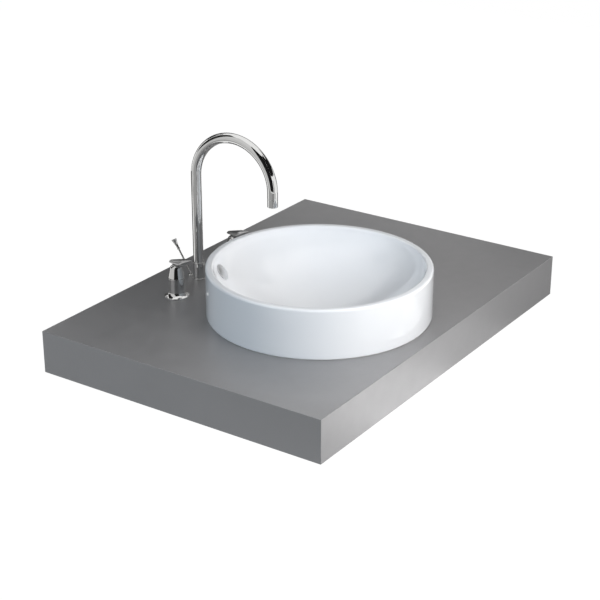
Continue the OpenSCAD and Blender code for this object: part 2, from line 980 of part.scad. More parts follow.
module strap_clamp() {
    depth = 2 * strap_offset;
    color([0.75, 0.6, 0.3])
        difference() {
            translate([-clamp_w / 2, lift_y - strap_offset, clamp_z])
                cube([clamp_w, depth, clamp_h]);
            translate([0, lift_y, clamp_z - over])
                cylinder(r = lift_rod_r + running_gap, h = clamp_h + 2 * over);
            translate([0, lift_y, clamp_z + clamp_h / 2])
                rotate([90, 0, 0])
                    cylinder(r = screw_r + running_gap, h = depth);
        }
}

module strap_screw() {
    color([0.75, 0.6, 0.3])
        translate([0, lift_y - lift_rod_r, clamp_z + clamp_h / 2])
            rotate([90, 0, 0]) {
                cylinder(r = screw_r, h = strap_offset - lift_rod_r + 2 * over);
                translate([0, 0, strap_offset - lift_rod_r + over])
                    cylinder(r = thumb_r, h = thumb_h);
            }
}

// Spout

// The gooseneck as a rod of a given radius, from a height up, over and down to another
module gooseneck(r, from_z, to_z) {
    translate([0, spout_y, from_z])
        cylinder(r = r, h = spring_z - from_z);
    translate([0, spout_y - bend_r, spring_z])
        rotate([90, 0, 90])
            rotate_extrude(angle = 180)
                translate([bend_r, 0])
                    circle(r = r);
    translate([0, spout_y - 2 * bend_r, to_z])
        cylinder(r = r, h = spring_z - to_z);
}

module spout_tube() {
    color([0.8, 0.8, 0.82])
        difference() {
            gooseneck(tube_r, spout_foot_z, outlet_z + aerator_h);
            gooseneck(tube_bore_r, spout_foot_z - over, outlet_z + aerator_h - over);
            translate([0, spout_y, screw_z])
                rotate([-90, 0, 0])
                    cylinder(r = screw_r + running_gap, h = tube_r + over);
        }
}

module spout_collar() {
    color([0.8, 0.8, 0.82])
        translate([0, spout_y, 0])
            difference() {
                union() {
                    translate([0, 0, spout_foot_z])
                        cylinder(r = collar_r, h = collar_h - collar_bevel);
                    translate([0, 0, spout_foot_z + collar_h - collar_bevel])
                        cylinder(r1 = collar_r, r2 = collar_r - collar_bevel, h = collar_bevel);
                }
                translate([0, 0, spout_foot_z - over])
                    cylinder(r = tube_r + running_gap, h = collar_h + 2 * over);
                translate([0, 0, screw_z])
                    rotate([-90, 0, 0])
                        cylinder(r = screw_r + running_gap, h = collar_r + over);
            }
}

module spout_screw() {
    tip = spigot_r - groove_depth + near_gap;
    color([0.3, 0.3, 0.32])
        translate([0, spout_y, screw_z])
            rotate([-90, 0, 0])
                translate([0, 0, tip])
                    cylinder(r = screw_r, h = collar_r - screw_sunk - tip);
}

module spout_seals() {
    color([0.1, 0.1, 0.1])
        for (share = seal_shares)
            translate([0, spout_y, spout_foot_z + spigot_h * share])
                rotate_extrude()
                    translate([tube_bore_r - seal_ring_r - seal_touch, 0])
                        circle(r = seal_ring_r, $fn = 32);
}

module spout_base_ring() {
    color([0.8, 0.8, 0.82])
        translate([0, spout_y, top_z])
            difference() {
                union() {
                    cylinder(r = base_ring_r, h = base_ring_h - ring_bevel);
                    translate([0, 0, base_ring_h - ring_bevel])
                        cylinder(r1 = base_ring_r, r2 = base_ring_r - ring_bevel, h = ring_bevel);
                }
                translate([0, 0, -over])
                    cylinder(r = shank_r + running_gap, h = base_ring_h + 2 * over);
            }
}

// A groove round the spigot, to a given radius
module spigot_groove(z, half, r) {
    translate([0, 0, z - half])
        tube(spigot_r + over, r, 2 * half);
}

module spout_shank() {
    color([0.75, 0.6, 0.3])
        translate([0, spout_y, 0])
            difference() {
                union() {
                    translate([0, 0, panel_z - shank_drop])
                        cylinder(r = shank_r, h = panel_t + shank_drop + base_ring_h);
                    translate([0, 0, top_z])
                        cylinder(r = spigot_r, h = base_ring_h + spigot_h);
                }
                translate([0, 0, panel_z - shank_drop - over])
                    cylinder(r = shank_bore_r, h = shank_drop + panel_t + base_ring_h + spigot_h + 2 * over);
                spigot_groove(screw_z, screw_r + near_gap, spigot_r - groove_depth);
                for (share = seal_shares)
                    spigot_groove(spout_foot_z + spigot_h * share, seal_ring_r + near_gap,
                        tube_bore_r - 2 * seal_ring_r - near_gap);
            }
}

module spout_nut() {
    color([0.75, 0.6, 0.3])
        translate([0, spout_y, panel_z - washer_t - spout_nut_h])
            difference() {
                cylinder(r = spout_nut_r, h = spout_nut_h, $fn = 6);
                translate([0, 0, -over])
                    cylinder(r = shank_r + running_gap, h = spout_nut_h + 2 * over);
            }
}

module aerator_shell() {
    color([0.8, 0.8, 0.82])
        translate([0, spout_y - 2 * bend_r, outlet_z])
            difference() {
                union() {
                    cylinder(r1 = tube_r - aerator_bevel, r2 = tube_r, h = aerator_bevel);
                    translate([0, 0, aerator_bevel])
                        cylinder(r = tube_r, h = aerator_h - 2 * aerator_bevel);
                    translate([0, 0, aerator_h - aerator_bevel])
                        cylinder(r1 = tube_r, r2 = tube_r - aerator_bevel, h = aerator_bevel);
                }
                translate([0, 0, -over])
                    cylinder(r = tube_bore_r, h = aerator_h + 2 * over);
            }
}

module aerator_insert() {
    cup_r = tube_bore_r - jet_wall;
    plate_top = jet_cup + jet_plate_t;
    color([0.88, 0.88, 0.9])
        translate([0, spout_y - 2 * bend_r, outlet_z + jet_inset])
            difference() {
                cylinder(r = tube_bore_r - running_gap, h = plate_top + jet_cup);
                translate([0, 0, -over])
                    cylinder(r = cup_r, h = jet_cup + over);
                translate([0, 0, plate_top])
                    cylinder(r = cup_r, h = jet_cup + over);
                for (i = [0:jet_count - 1])
                    rotate([0, 0, i * 360 / jet_count])
                        translate([jet_ring_r, 0, jet_cup - over])
                            cylinder(r = jet_r, h = jet_plate_t + 2 * over);
            }
}

// Turns local Z along the line from a valve's axis to the spout's, at the ports' height
module towards_spout(x) {
    translate([0, 0, port_z])
        rotate([0, 90, atan2(spout_y - handle_y, -x)])
            children();
}

module spout_tee() {
    foot = port_z - tee_block_r;
    shank_end = panel_z - shank_drop;
    color([0.75, 0.6, 0.3])
        translate([0, spout_y, 0])
            difference() {
                union() {
                    translate([0, 0, foot])
                        cylinder(r = tee_block_r, h = shank_end + socket_depth - foot);
                    for (x = [hot_x, cold_x])
                        rotate([0, 0, 180])
                            towards_spout(x)
                                cylinder(r = nipple_r, h = tee_reach);
                }
                translate([0, 0, foot + tee_floor])
                    cylinder(r = shank_bore_r, h = shank_end - foot);
                translate([0, 0, shank_end])
                    cylinder(r = shank_r + running_gap, h = socket_depth + over);
                for (x = [hot_x, cold_x])
                    rotate([0, 0, 180])
                        towards_spout(x) {
                            cylinder(r = supply_bore_r, h = tee_reach + over);
                            translate([0, 0, tee_reach - socket_depth])
                                cylinder(r = supply_r + running_gap, h = socket_depth + over);
                        }
            }
}

module supply_tubes() {
    span = norm([handle_spacing / 2, spout_y - handle_y]);
    start = nipple_reach - socket_depth + near_gap;
    color([0.8, 0.5, 0.35])
        for (x = [hot_x, cold_x])
            translate([x, handle_y, 0])
                towards_spout(x)
                    translate([0, 0, start])
                        tube(supply_r, supply_bore_r, span - start - tee_reach + socket_depth - near_gap);
}

// Handles: each module takes the handle's place along X

module flange(x) {
    flare_z = flange_edge + flange_lip;
    flare_r = flange_r - flange_lip;
    throat_r = cover_r + near_gap;
    color([0.8, 0.8, 0.82])
        translate([x, handle_y, top_z])
            rotate_extrude()
                polygon(concat(
                    [[neck_r + running_gap, 0], [flange_r, 0], [flange_r, flange_edge]],
                    [for (i = [0:flare_steps])
                        let (t = i / flare_steps)
                        [
                            throat_r + (flare_r - throat_r) * pow(1 - t, 2),
                            flare_z + (flange_h - flare_z) * t
                        ]],
                    [[neck_r + running_gap, flange_h]]
                ));
}

module cover(x) {
    color([0.8, 0.8, 0.82])
        translate([x, handle_y, top_z + flange_h])
            tube(cover_r, neck_r + running_gap, cover_top - flange_h);
}

module valve(x) {
    block_z = top_z - valve_block_top - valve_block_h;
    color([0.75, 0.6, 0.3])
        translate([x, handle_y, 0])
            difference() {
                union() {
                    translate([0, 0, top_z - valve_block_top - over])
                        cylinder(r = neck_r, h = valve_block_top + neck_top + over);
                    translate([0, 0, block_z])
                        cylinder(r = valve_block_r, h = valve_block_h);
                    translate([0, 0, block_z - inlet_h])
                        cylinder(r = inlet_r, h = inlet_h + over);
                    towards_spout(x)
                        cylinder(r = nipple_r, h = nipple_reach);
                }
                translate([0, 0, block_z - inlet_h - over])
                    cylinder(r = inlet_bore_r, h = valve_block_h + inlet_h);
                translate([0, 0, top_z - valve_block_top - valve_bore_depth])
                    cylinder(r = valve_bore_r,
                        h = valve_bore_depth + valve_block_top + cartridge_foot + over);
                towards_spout(x) {
                    cylinder(r = supply_bore_r, h = nipple_reach + over);
                    translate([0, 0, nipple_reach - socket_depth])
                        cylinder(r = supply_r + running_gap, h = socket_depth + over);
                }
                translate([0, 0, top_z + cartridge_foot])
                    cylinder(r = cartridge_r + running_gap, h = neck_top);
            }
}

module cartridge(x) {
    color([0.9, 0.88, 0.8])
        translate([x, handle_y, top_z + cartridge_foot])
            difference() {
                cylinder(r = cartridge_r, h = cartridge_top - cartridge_foot);
                translate([0, 0, cartridge_floor])
                    cylinder(r = spindle_r + running_gap, h = cartridge_top);
                for (s = [-1, 1])
                    translate([s * cartridge_port_x, 0, -over])
                        cylinder(r = cartridge_port_r, h = cartridge_floor + 2 * over);
            }
}

module spindle(x) {
    foot = cartridge_foot + cartridge_floor + near_gap;
    color([0.75, 0.6, 0.3])
        translate([x, handle_y, top_z + foot])
            cylinder(r = spindle_r, h = spindle_top - foot);
}

module hub(x) {
    foot = cover_top + near_gap;
    color([0.8, 0.8, 0.82])
        translate([x, handle_y, top_z])
            difference() {
                rotate_extrude()
                    polygon(concat(
                        [[0, foot], [cover_r - hub_bevel, foot]],
                        [[cover_r, foot + hub_edge], [cover_r, foot + hub_foot_h]],
                        arc_points(hub_top_r - hub_round, hub_top - hub_round,
                            hub_round, hub_round_start, 90),
                        [[0, hub_top]]
                    ));
                translate([0, 0, foot - over])
                    cylinder(r = spindle_r + running_gap, h = spindle_top - foot + over + near_gap);
                translate([0, 0, hub_screw_z])
                    rotate([-90, 0, 0])
                        cylinder(r = screw_r + running_gap, h = cover_r + over);
            }
}

module hub_screw(x) {
    color([0.3, 0.3, 0.32])
        translate([x, handle_y, top_z + hub_screw_z])
            rotate([-90, 0, 0])
                translate([0, 0, spindle_r])
                    cylinder(r = screw_r, h = cover_r - hub_screw_sunk - spindle_r);
}

// Leaf-shaped lever: a crowned body from a blunt back end to a pointed tip, on a round neck
module lever(x) {
    color([0.8, 0.8, 0.82])
        translate([x, handle_y, top_z]) {
            translate([0, 0, lever_z])
                rotate([-lever_rise, 0, 0])
                    hull($fn = 32) {
                        translate([0, -lever_crown_ahead, -lever_crown_drop])
                            resize([lever_w, lever_w, lever_t])
                                sphere(r = lever_w / 2);
                        translate([0, lever_back - lever_heel_length / 2, 0])
                            resize([lever_heel_w, lever_heel_length, lever_heel_t])
                                sphere(r = lever_heel_length / 2);
                        translate([0, -lever_front + lever_tip_r, 0])
                            sphere(r = lever_tip_r);
                    }
            translate([0, 0, hub_top])
                cylinder(r = lever_neck_r, h = lever_lift - over);
        }
}

module deck_washers() {
    color([0.12, 0.12, 0.12]) {
        for (x = [hot_x, cold_x])
            translate([x, handle_y, panel_z - washer_t])
                tube(valve_washer_r, neck_r + running_gap, washer_t);
        translate([0, spout_y, panel_z - washer_t])
            tube(spout_washer_r, shank_r + running_gap, washer_t);
    }
}

module valve_nuts() {
    color([0.75, 0.6, 0.3])
        for (x = [hot_x, cold_x])
            translate([x, handle_y, panel_z - washer_t - valve_nut_h])
                difference() {
                    cylinder(r = valve_nut_r, h = valve_nut_h, $fn = 6);
                    translate([0, 0, -over])
                        cylinder(r = neck_r + running_gap, h = valve_nut_h + 2 * over);
                }
}

counter_top();
counter_front();
counter_back();
counter_left();
counter_right();
support_rails();
rail_screws();
basin();
basin_seal();
overflow_insert();
overflow_cover();
waste_body();
waste_flange_seal();
waste_gasket();
waste_washer();
waste_nut();
waste_tee();
tailpiece();
pivot_seat();
pivot_nut();
pivot_rod();
spring_clip();
plug_cap();
plug_seal();
plug_stem();
lift_rod();
lift_knob();
lift_guide();
rod_strap();
strap_clamp();
strap_screw();
spout_tube();
spout_collar();
spout_screw();
spout_seals();
aerator_shell();
aerator_insert();
spout_base_ring();
spout_shank();
spout_nut();
spout_tee();
supply_tubes();
flange(hot_x);  // hot_flange
cover(hot_x);  // hot_cover
valve(hot_x);  // hot_valve
cartridge(hot_x);  // hot_cartridge
spindle(hot_x);  // hot_spindle
hub(hot_x);  // hot_hub
lever(hot_x);  // hot_lever
hub_screw(hot_x);  // hot_screw
flange(cold_x);  // cold_flange
cover(cold_x);  // cold_cover
valve(cold_x);  // cold_valve
cartridge(cold_x);  // cold_cartridge
spindle(cold_x);  // cold_spindle
hub(cold_x);  // cold_hub
lever(cold_x);  // cold_lever
hub_screw(cold_x);  // cold_screw
deck_washers();
valve_nuts();
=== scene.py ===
"""Dresses the countertop basin: a finished piece with a finished surface for every part of the model.

Lengths are in metres, in the part's own frame: the origin is on the basin's axis, in the plane of the
counter's underside, X runs along the counter, Y towards the wall and Z up.
"""
import json
from math import acos, atan, atan2, cos, pi, radians, sin, sqrt, tan

import bmesh
import bpy
from mathutils import Matrix, Vector

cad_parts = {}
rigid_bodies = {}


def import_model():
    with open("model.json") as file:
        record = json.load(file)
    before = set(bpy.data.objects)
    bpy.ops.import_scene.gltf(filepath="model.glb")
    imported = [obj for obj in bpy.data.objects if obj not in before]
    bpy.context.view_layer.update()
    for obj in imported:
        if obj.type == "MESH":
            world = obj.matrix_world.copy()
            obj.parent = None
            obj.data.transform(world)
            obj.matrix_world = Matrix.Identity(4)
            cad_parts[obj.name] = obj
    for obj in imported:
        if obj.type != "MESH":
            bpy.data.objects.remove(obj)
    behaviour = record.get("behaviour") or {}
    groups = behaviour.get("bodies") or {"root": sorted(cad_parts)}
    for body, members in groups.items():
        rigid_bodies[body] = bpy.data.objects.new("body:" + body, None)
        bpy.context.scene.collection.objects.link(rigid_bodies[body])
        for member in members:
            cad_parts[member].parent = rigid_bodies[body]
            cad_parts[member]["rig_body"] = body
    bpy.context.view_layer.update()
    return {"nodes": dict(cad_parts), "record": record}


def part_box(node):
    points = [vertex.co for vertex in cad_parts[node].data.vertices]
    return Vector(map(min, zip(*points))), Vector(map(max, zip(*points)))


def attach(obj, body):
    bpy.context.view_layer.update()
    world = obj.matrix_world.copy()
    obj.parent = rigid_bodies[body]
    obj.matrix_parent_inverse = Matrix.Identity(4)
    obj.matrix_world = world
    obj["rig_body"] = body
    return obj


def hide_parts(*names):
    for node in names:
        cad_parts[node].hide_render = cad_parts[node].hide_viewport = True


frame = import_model()
MM = 0.001

# The camera stands where the photograph was taken from
FOCAL_LENGTH = 92.88
SENSOR_WIDTH = 36.0
CAMERA_AZIMUTH = -55.74
CAMERA_ELEVATION = 23.64
CAMERA_AIM = Vector((0.0244, 0.0646, 0.092))
CAMERA_DISTANCE = 3.259

# Basin
RIM_WIDTH = 16 * MM
RIM_OUTER_ROUND = 5 * MM
RIM_INNER_ROUND = 4 * MM
BOWL_DEPTH = 127 * MM
BOWL_CURVE = 1.65
SHELL = 10 * MM
SKIRT = 12 * MM
FOOT_ROUND = 1.5 * MM
SEAL_WIDTH = 10 * MM
LEDGE = 44 * MM
WASTE_HOLE_R = 23 * MM
RECESS_R = 32.5 * MM
RECESS_DEPTH = 4 * MM
RECESS_ROUND = 1.5 * MM
BOSS_R = 38 * MM
CHANNEL = 10 * MM
CHANNEL_WIDTH = 26 * MM
CHANNEL_WALL = 8 * MM
WELD = 4 * MM

# Overflow
OVERFLOW_AZIMUTH = 115.0
OVERFLOW_DEPTH = 32 * MM
OVERFLOW_HOLE_R = 12 * MM
COVER_R = 17.5 * MM
COVER_STANDOFF = 2 * MM
COVER_THICKNESS = 3.4 * MM
COVER_DOME_R = 90 * MM
COVER_EDGE_ROUND = 1.0 * MM
COVER_RING_WALL = 1.2 * MM
COVER_SLIT = 6 * MM
INSERT_WALL = 1.5 * MM
INSERT_LIP = 2 * MM
INSERT_FLANGE = 1 * MM
INSERT_LENGTH = 13 * MM
SLIT_COUNT = 3

# Waste and plug
WASTE_BORE_R = 17.5 * MM
WASTE_THREAD_R = 20.9 * MM
WASTE_FLANGE = 2.5 * MM
WASTE_CONE_R = 24 * MM
WASTE_CONE_DEPTH = 7.5 * MM
WASTE_SLIT = 8 * MM
THREAD_PITCH = 1.5 * MM
THREAD_STEP = 0.25 * MM
PLUG_DISC = 3.5 * MM
PLUG_DOME_R = 120 * MM
PLUG_NECK_R = 16.5 * MM
PLUG_NECK = 5 * MM
PLUG_SOCKET_R = 4.5 * MM

# Tap
TUBE_R = 11 * MM
TUBE_WALL = 1.5 * MM
BEND_R = 99 * MM
BEND_STEPS = 112
SHANK_R = 10 * MM
SHANK_WALL = 3.5 * MM
SPOUT_HOLE_R = 10.6 * MM
HANDLE_HOLE_R = 13.6 * MM
VALVE_R = 12 * MM
SPINDLE_R = 3.5 * MM
GRUB_R = 1.5 * MM
HUB_TOP_R = 13.5 * MM
HUB_ROUND = 10 * MM

# Levers: a skin pulled taut round a blunt heel, a broad crown and a fine tip, sloping up to the tip
LEVER_FRONT = 42 * MM
LEVER_BACK = 16.5 * MM
LEVER_WIDTH = 27 * MM
LEVER_THICKNESS = 15.5 * MM
CROWN_AHEAD = 17.5 * MM
CROWN_DROP = 4 * MM
HEEL_WIDTH = 13 * MM
HEEL_LENGTH = 8 * MM
HEEL_THICKNESS = 6 * MM
TIP_R = 1.5 * MM
LEVER_RISE = 13.0
LEVER_LIFT = 7.5 * MM
LEVER_STEPS = 72
LEVER_SIDES = 40

# Lift rod
ROD_R = 2 * MM
ROD_BEND_R = 8 * MM
ROD_LEAN = 33.0
LEAN_LENGTH = 78 * MM
KNOB_LENGTH = 24 * MM
KNOB_R = 5.75 * MM
KNOB_ROUND = 1.4 * MM
GUIDE_R = 4.6 * MM

# Edges and fits
SMOOTH_ANGLE = radians(32)
POLE = 1e-6
ARRIS = 0.9 * MM
SMALL = 0.3 * MM
FIT = 0.06 * MM
SIDES = ("hot", "cold")

# Nodes that keep their own shape, each with the width in mm that its edges are eased by
EASED = {
    "waste_flange_seal": 0.25, "waste_gasket": 0.25, "waste_washer": 0.25, "waste_nut": 0.8,
    "waste_tee": 0.5, "tailpiece": 0.3, "pivot_seat": 0.3, "pivot_nut": 0.6, "pivot_rod": 0.4,
    "spring_clip": 0.2, "plug_seal": 0.05, "plug_stem": 0.3, "aerator_insert": 0.15,
    "spout_seals": 0.05, "spout_nut": 0.6, "spout_tee": 0.5, "supply_tubes": 0.2,
    "hot_cartridge": 0.2, "hot_spindle": 0.2, "hot_valve": 0.5,
    "cold_cartridge": 0.2, "cold_spindle": 0.2, "cold_valve": 0.5,
    "rod_strap": 0.2, "strap_clamp": 0.5, "strap_screw": 0.3,
    "deck_washers": 0.3, "valve_nuts": 0.7, "support_rails": 1.2, "rail_screws": 0.5,
}

nodes = frame["nodes"]
slots = {part["node"]: part["material_slot"] for part in frame["record"]["subparts"]}


def low(node):
    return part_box(node)[0]


def high(node):
    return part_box(node)[1]


def middle(node):
    return (low(node) + high(node)) / 2


def half_width(node):
    return (high(node).x - low(node).x) / 2


# Mesh helpers


def add_object(name, mesh, matrix=None):
    """A new object from a bmesh, smooth but for its sharp edges."""
    bmesh.ops.recalc_face_normals(mesh, faces=mesh.faces)
    data = bpy.data.meshes.new(name)
    mesh.to_mesh(data)
    mesh.free()
    if matrix is not None:
        data.transform(matrix)
    piece = bpy.data.objects.new(name, data)
    bpy.context.scene.collection.objects.link(piece)
    smooth(piece)
    return piece


def smooth(piece):
    for face in piece.data.polygons:
        face.use_smooth = True
    piece.data.set_sharp_from_angle(angle=SMOOTH_ANGLE)


def even_shading(piece):
    """Lets the large faces keep their own normals, so that small rounds don't shade across them."""
    weighted = piece.modifiers.new("even shading", "WEIGHTED_NORMAL")
    weighted.keep_sharp = True
    weighted.weight = 60


def arc(centre, radius, start, end, steps=8):
    """Points along an arc, with its angles in degrees."""
    turns = [radians(start + (end - start) * i / steps) for i in range(steps + 1)]
    return [(centre[0] + radius * cos(a), centre[1] + radius * sin(a)) for a in turns]


def rounded(corners, steps=5):
    """The outline through corners (x, y, round), where each round is the radius of that corner's arc."""
    points = []
    count = len(corners)
    for i, (x, y, radius) in enumerate(corners):
        here = Vector((x, y))
        if radius == 0:
            points.append((x, y))
            continue
        back = Vector(corners[i - 1][:2]) - here
        ahead = Vector(corners[(i + 1) % count][:2]) - here
        half = back.angle(ahead) / 2
        reach = min(radius / tan(half), back.length * 0.49, ahead.length * 0.49)
        radius = reach * tan(half)
        back.normalize()
        ahead.normalize()
        centre = here + (back + ahead).normalized() * (radius / sin(half))
        first = here + back * reach - centre
        last = here + ahead * reach - centre
        start = atan2(first.y, first.x)
        turn = atan2(first.cross(last), first.dot(last))
        for k in range(steps + 1):
            a = start + turn * k / steps
            points.append((centre.x + radius * cos(a), centre.y + radius * sin(a)))
    return points


def stitch(mesh, lower, upper, count):
    """Faces between two rings of corners. A ring of a single corner is a pole."""
    for i in range(count):
        j = (i + 1) % count
        corners = [
            lower[i % len(lower)], lower[j % len(lower)],
            upper[j % len(upper)], upper[i % len(upper)],
        ]
        corners = list(dict.fromkeys(corners))
        if len(corners) > 2:
            mesh.faces.new(corners)


def lathe(name, outline, at=(0, 0, 0), steps=96, matrix=None):
    """A turned piece from the (radius, height) points of its outline.
    An outline that starts and ends on the axis is closed there, and any other is closed as a ring."""
    mesh = bmesh.new()
    turns = [2 * pi * i / steps for i in range(steps)]
    rings = []
    for radius, z in outline:
        if radius < POLE:
            rings.append([mesh.verts.new((0, 0, z))])
        else:
            rings.append([mesh.verts.new((radius * cos(a), radius * sin(a), z)) for a in turns])
    if outline[0][0] >= POLE:
        rings.append(rings[0])
    for lower, upper in zip(rings, rings[1:]):
        stitch(mesh, lower, upper, steps)
    piece = add_object(name, mesh, Matrix.Translation(at) if matrix is None else matrix)
    even_shading(piece)
    return piece


def pipe(name, path, outer, bore=0, sides=48):
    """A round tube, or a rod where bore is 0, along a path in a plane square to X."""
    mesh = bmesh.new()
    across = Vector((1, 0, 0))
    turns = [2 * pi * i / sides for i in range(sides)]

    def skin(radius):
        """Makes the surface at a radius, and gives back its first and last ring."""
        rings = []
        for i, point in enumerate(path):
            ahead = path[min(i + 1, len(path) - 1)] - path[max(i - 1, 0)]
            normal = ahead.normalized().cross(across)
            offsets = [(across * cos(a) + normal * sin(a)) * radius for a in turns]
            rings.append([mesh.verts.new(point + offset) for offset in offsets])
        for lower, upper in zip(rings, rings[1:]):
            stitch(mesh, lower, upper, sides)
        return rings[0], rings[-1]

    ends = skin(outer)
    if bore:
        for outside, inside in zip(ends, skin(bore)):
            stitch(mesh, outside, inside, sides)
    else:
        for end in ends:
            mesh.faces.new(end)
    piece = add_object(name, mesh)
    even_shading(piece)
    return piece


def block(name, corner, size, matrix=None):
    """A plain cutter, from its lowest corner and its size."""
    mesh = bmesh.new()
    bmesh.ops.create_cube(mesh, size=1)
    middle_point = Vector(corner) + Vector(size) / 2
    bmesh.ops.scale(mesh, vec=size, verts=mesh.verts)
    bmesh.ops.translate(mesh, vec=middle_point, verts=mesh.verts)
    return add_object(name, mesh, matrix)


def drill(name, radius, length, matrix, sides=64):
    """A cutter for a round hole, along local Z from the matrix's origin."""
    outline = [(0, 0), (radius, 0), (radius, length), (0, length)]
    piece = lathe(name, outline, steps=sides, matrix=matrix)
    piece.modifiers.clear()
    return piece


def slab(name, outline, width, matrix):
    """An outline in local X and Z, given a width across local Y."""
    mesh = bmesh.new()
    front = [mesh.verts.new((x, -width / 2, z)) for x, z in outline]
    back = [mesh.verts.new((x, width / 2, z)) for x, z in outline]
    mesh.faces.new(front)
    mesh.faces.new(back)
    stitch(mesh, front, back, len(outline))
    return add_object(name, mesh, matrix)


def slits(corner, size, matrix=Matrix()):
    """Cutters for slits right through a turned piece, spread evenly round its axis."""
    turns = [Matrix.Rotation(pi * i / SLIT_COUNT, 4, "Z") for i in range(SLIT_COUNT)]
    return [block("slit", corner, size, matrix @ turn) for turn in turns]


def sagitta(sphere_r, radius):
    """How far a dome falls from its crown to a radius."""
    return sphere_r - sqrt(sphere_r ** 2 - radius ** 2)


def dome(radius, crown, sphere_r, steps):
    """Points over a shallow dome, from inside a radius to its crown on the axis."""
    radii = [radius * (1 - i / steps) for i in range(1, steps + 1)]
    return [(r, crown - sagitta(sphere_r, r)) for r in radii]


def combine(piece, others, operation):
    """Cuts pieces out of a piece, or adds them to it, and leaves one clean mesh."""
    kept = [(m.name, m.type) for m in piece.modifiers]
    piece.modifiers.clear()
    for other in others:
        boolean = piece.modifiers.new("boolean", "BOOLEAN")
        boolean.operation = operation
        boolean.solver = "EXACT"
        boolean.object = other
    graph = bpy.context.evaluated_depsgraph_get()
    made = bpy.data.meshes.new_from_object(piece.evaluated_get(graph))
    piece.modifiers.clear()
    piece.data = made
    for other in others:
        bpy.data.objects.remove(other)
    smooth(piece)
    if kept:
        even_shading(piece)


def cut(piece, *cutters):
    combine(piece, cutters, "DIFFERENCE")


def steps_between(start, end, step):
    """Heights from start to end, a step or a little less apart."""
    count = max(1, round(abs(end - start) / step))
    return [start + (end - start) * i / count for i in range(count + 1)]


def cut_thread(piece, axis, radius, z_from, z_to, pitch, depth):
    """Presses a helical groove into the part of a turned piece that lies at this radius."""
    fade = pitch
    for vertex in piece.data.vertices:
        x = vertex.co.x - axis.x
        y = vertex.co.y - axis.y
        z = vertex.co.z
        distance = (x * x + y * y) ** 0.5
        if abs(distance - radius) > 0.02 * MM or not z_from < z < z_to:
            continue
        ends = min(1.0, (z - z_from) / fade, (z_to - z) / fade)
        wave = 0.5 - 0.5 * cos(2 * pi * (z / pitch) - atan2(y, x))
        scale = 1 - depth * wave * ends / distance
        vertex.co.x = axis.x + x * scale
        vertex.co.y = axis.y + y * scale


# Materials


class Surface:
    """A node material with its Principled shader and a few ways to vary it over the surface."""

    def __init__(self, name, color, roughness, metallic=0.0):
        self.material = bpy.data.materials.new(name)
        self.material.use_nodes = True
        self.tree = self.material.node_tree
        self.shader = self.tree.nodes["Principled BSDF"]
        self.shader.inputs["Base Color"].default_value = (*color, 1)
        self.shader.inputs["Roughness"].default_value = roughness
        self.shader.inputs["Metallic"].default_value = metallic
        self.place = self.tree.nodes.new("ShaderNodeTexCoord").outputs["Object"]

    def node(self, kind, **settings):
        made = self.tree.nodes.new(kind)
        for key, value in settings.items():
            if hasattr(made, key):
                setattr(made, key, value)
            else:
                made.inputs[key.replace("_", " ").title()].default_value = value
        return made

    def noise(self, scale, detail=3.0, stretch=(1, 1, 1)):
        """Values around a half that wander over the surface, with scale in cycles per metre."""
        mapping = self.node("ShaderNodeMapping")
        mapping.inputs["Scale"].default_value = stretch
        self.tree.links.new(self.place, mapping.inputs["Vector"])
        made = self.node("ShaderNodeTexNoise", scale=scale, detail=detail)
        self.tree.links.new(mapping.outputs["Vector"], made.inputs["Vector"])
        return made.outputs["Fac"]

    def ramp(self, value, *stops):
        made = self.tree.nodes.new("ShaderNodeValToRGB")
        elements = made.color_ramp.elements
        while len(elements) < len(stops):
            elements.new(0.5)
        for element, (position, color) in zip(elements, stops):
            element.position = position
            element.color = (*color, 1)
        self.tree.links.new(value, made.inputs["Fac"])
        return made.outputs["Color"]

    def spread(self, value, from_low, from_high, to_low, to_high):
        made = self.tree.nodes.new("ShaderNodeMapRange")
        for key, number in (
            ("From Min", from_low), ("From Max", from_high), ("To Min", to_low), ("To Max", to_high),
        ):
            made.inputs[key].default_value = number
        self.tree.links.new(value, made.inputs["Value"])
        return made.outputs["Result"]

    def mix(self, factor, first, second):
        made = self.tree.nodes.new("ShaderNodeMix")
        made.data_type = "RGBA"
        for socket, value in (("Factor", factor), ("A", first), ("B", second)):
            target = [s for s in made.inputs if s.name == socket and s.enabled][0]
            if isinstance(value, bpy.types.NodeSocket):
                self.tree.links.new(value, target)
            else:
                target.default_value = value if socket == "Factor" else (*value, 1)
        return [s for s in made.outputs if s.enabled][0]

    def color(self, value):
        self.tree.links.new(value, self.shader.inputs["Base Color"])

    def roughness(self, value):
        self.tree.links.new(value, self.shader.inputs["Roughness"])

    def bump(self, value, distance, strength=1.0):
        """Relief with distance as the height in metres that a change of 1 in value stands for."""
        made = self.tree.nodes.new("ShaderNodeBump")
        made.inputs["Strength"].default_value = strength
        made.inputs["Distance"].default_value = distance
        self.tree.links.new(value, made.inputs["Height"])
        previous = self.shader.inputs["Normal"].links
        if previous:
            self.tree.links.new(previous[0].from_socket, made.inputs["Normal"])
        self.tree.links.new(made.outputs["Normal"], self.shader.inputs["Normal"])

    def set(self, socket, value):
        self.shader.inputs[socket].default_value = value

    def tint(self, grain, dark, pale):
        """Lets the colour wander between two tones, with a noise's scale and detail as the grain."""
        self.color(self.ramp(self.noise(*grain), (0.3, dark), (0.7, pale)))

    def gloss(self, grain, smoothest, roughest, start=0.3, end=0.7):
        """Lets the roughness wander between two values."""
        self.roughness(self.spread(self.noise(*grain), start, end, smoothest, roughest))


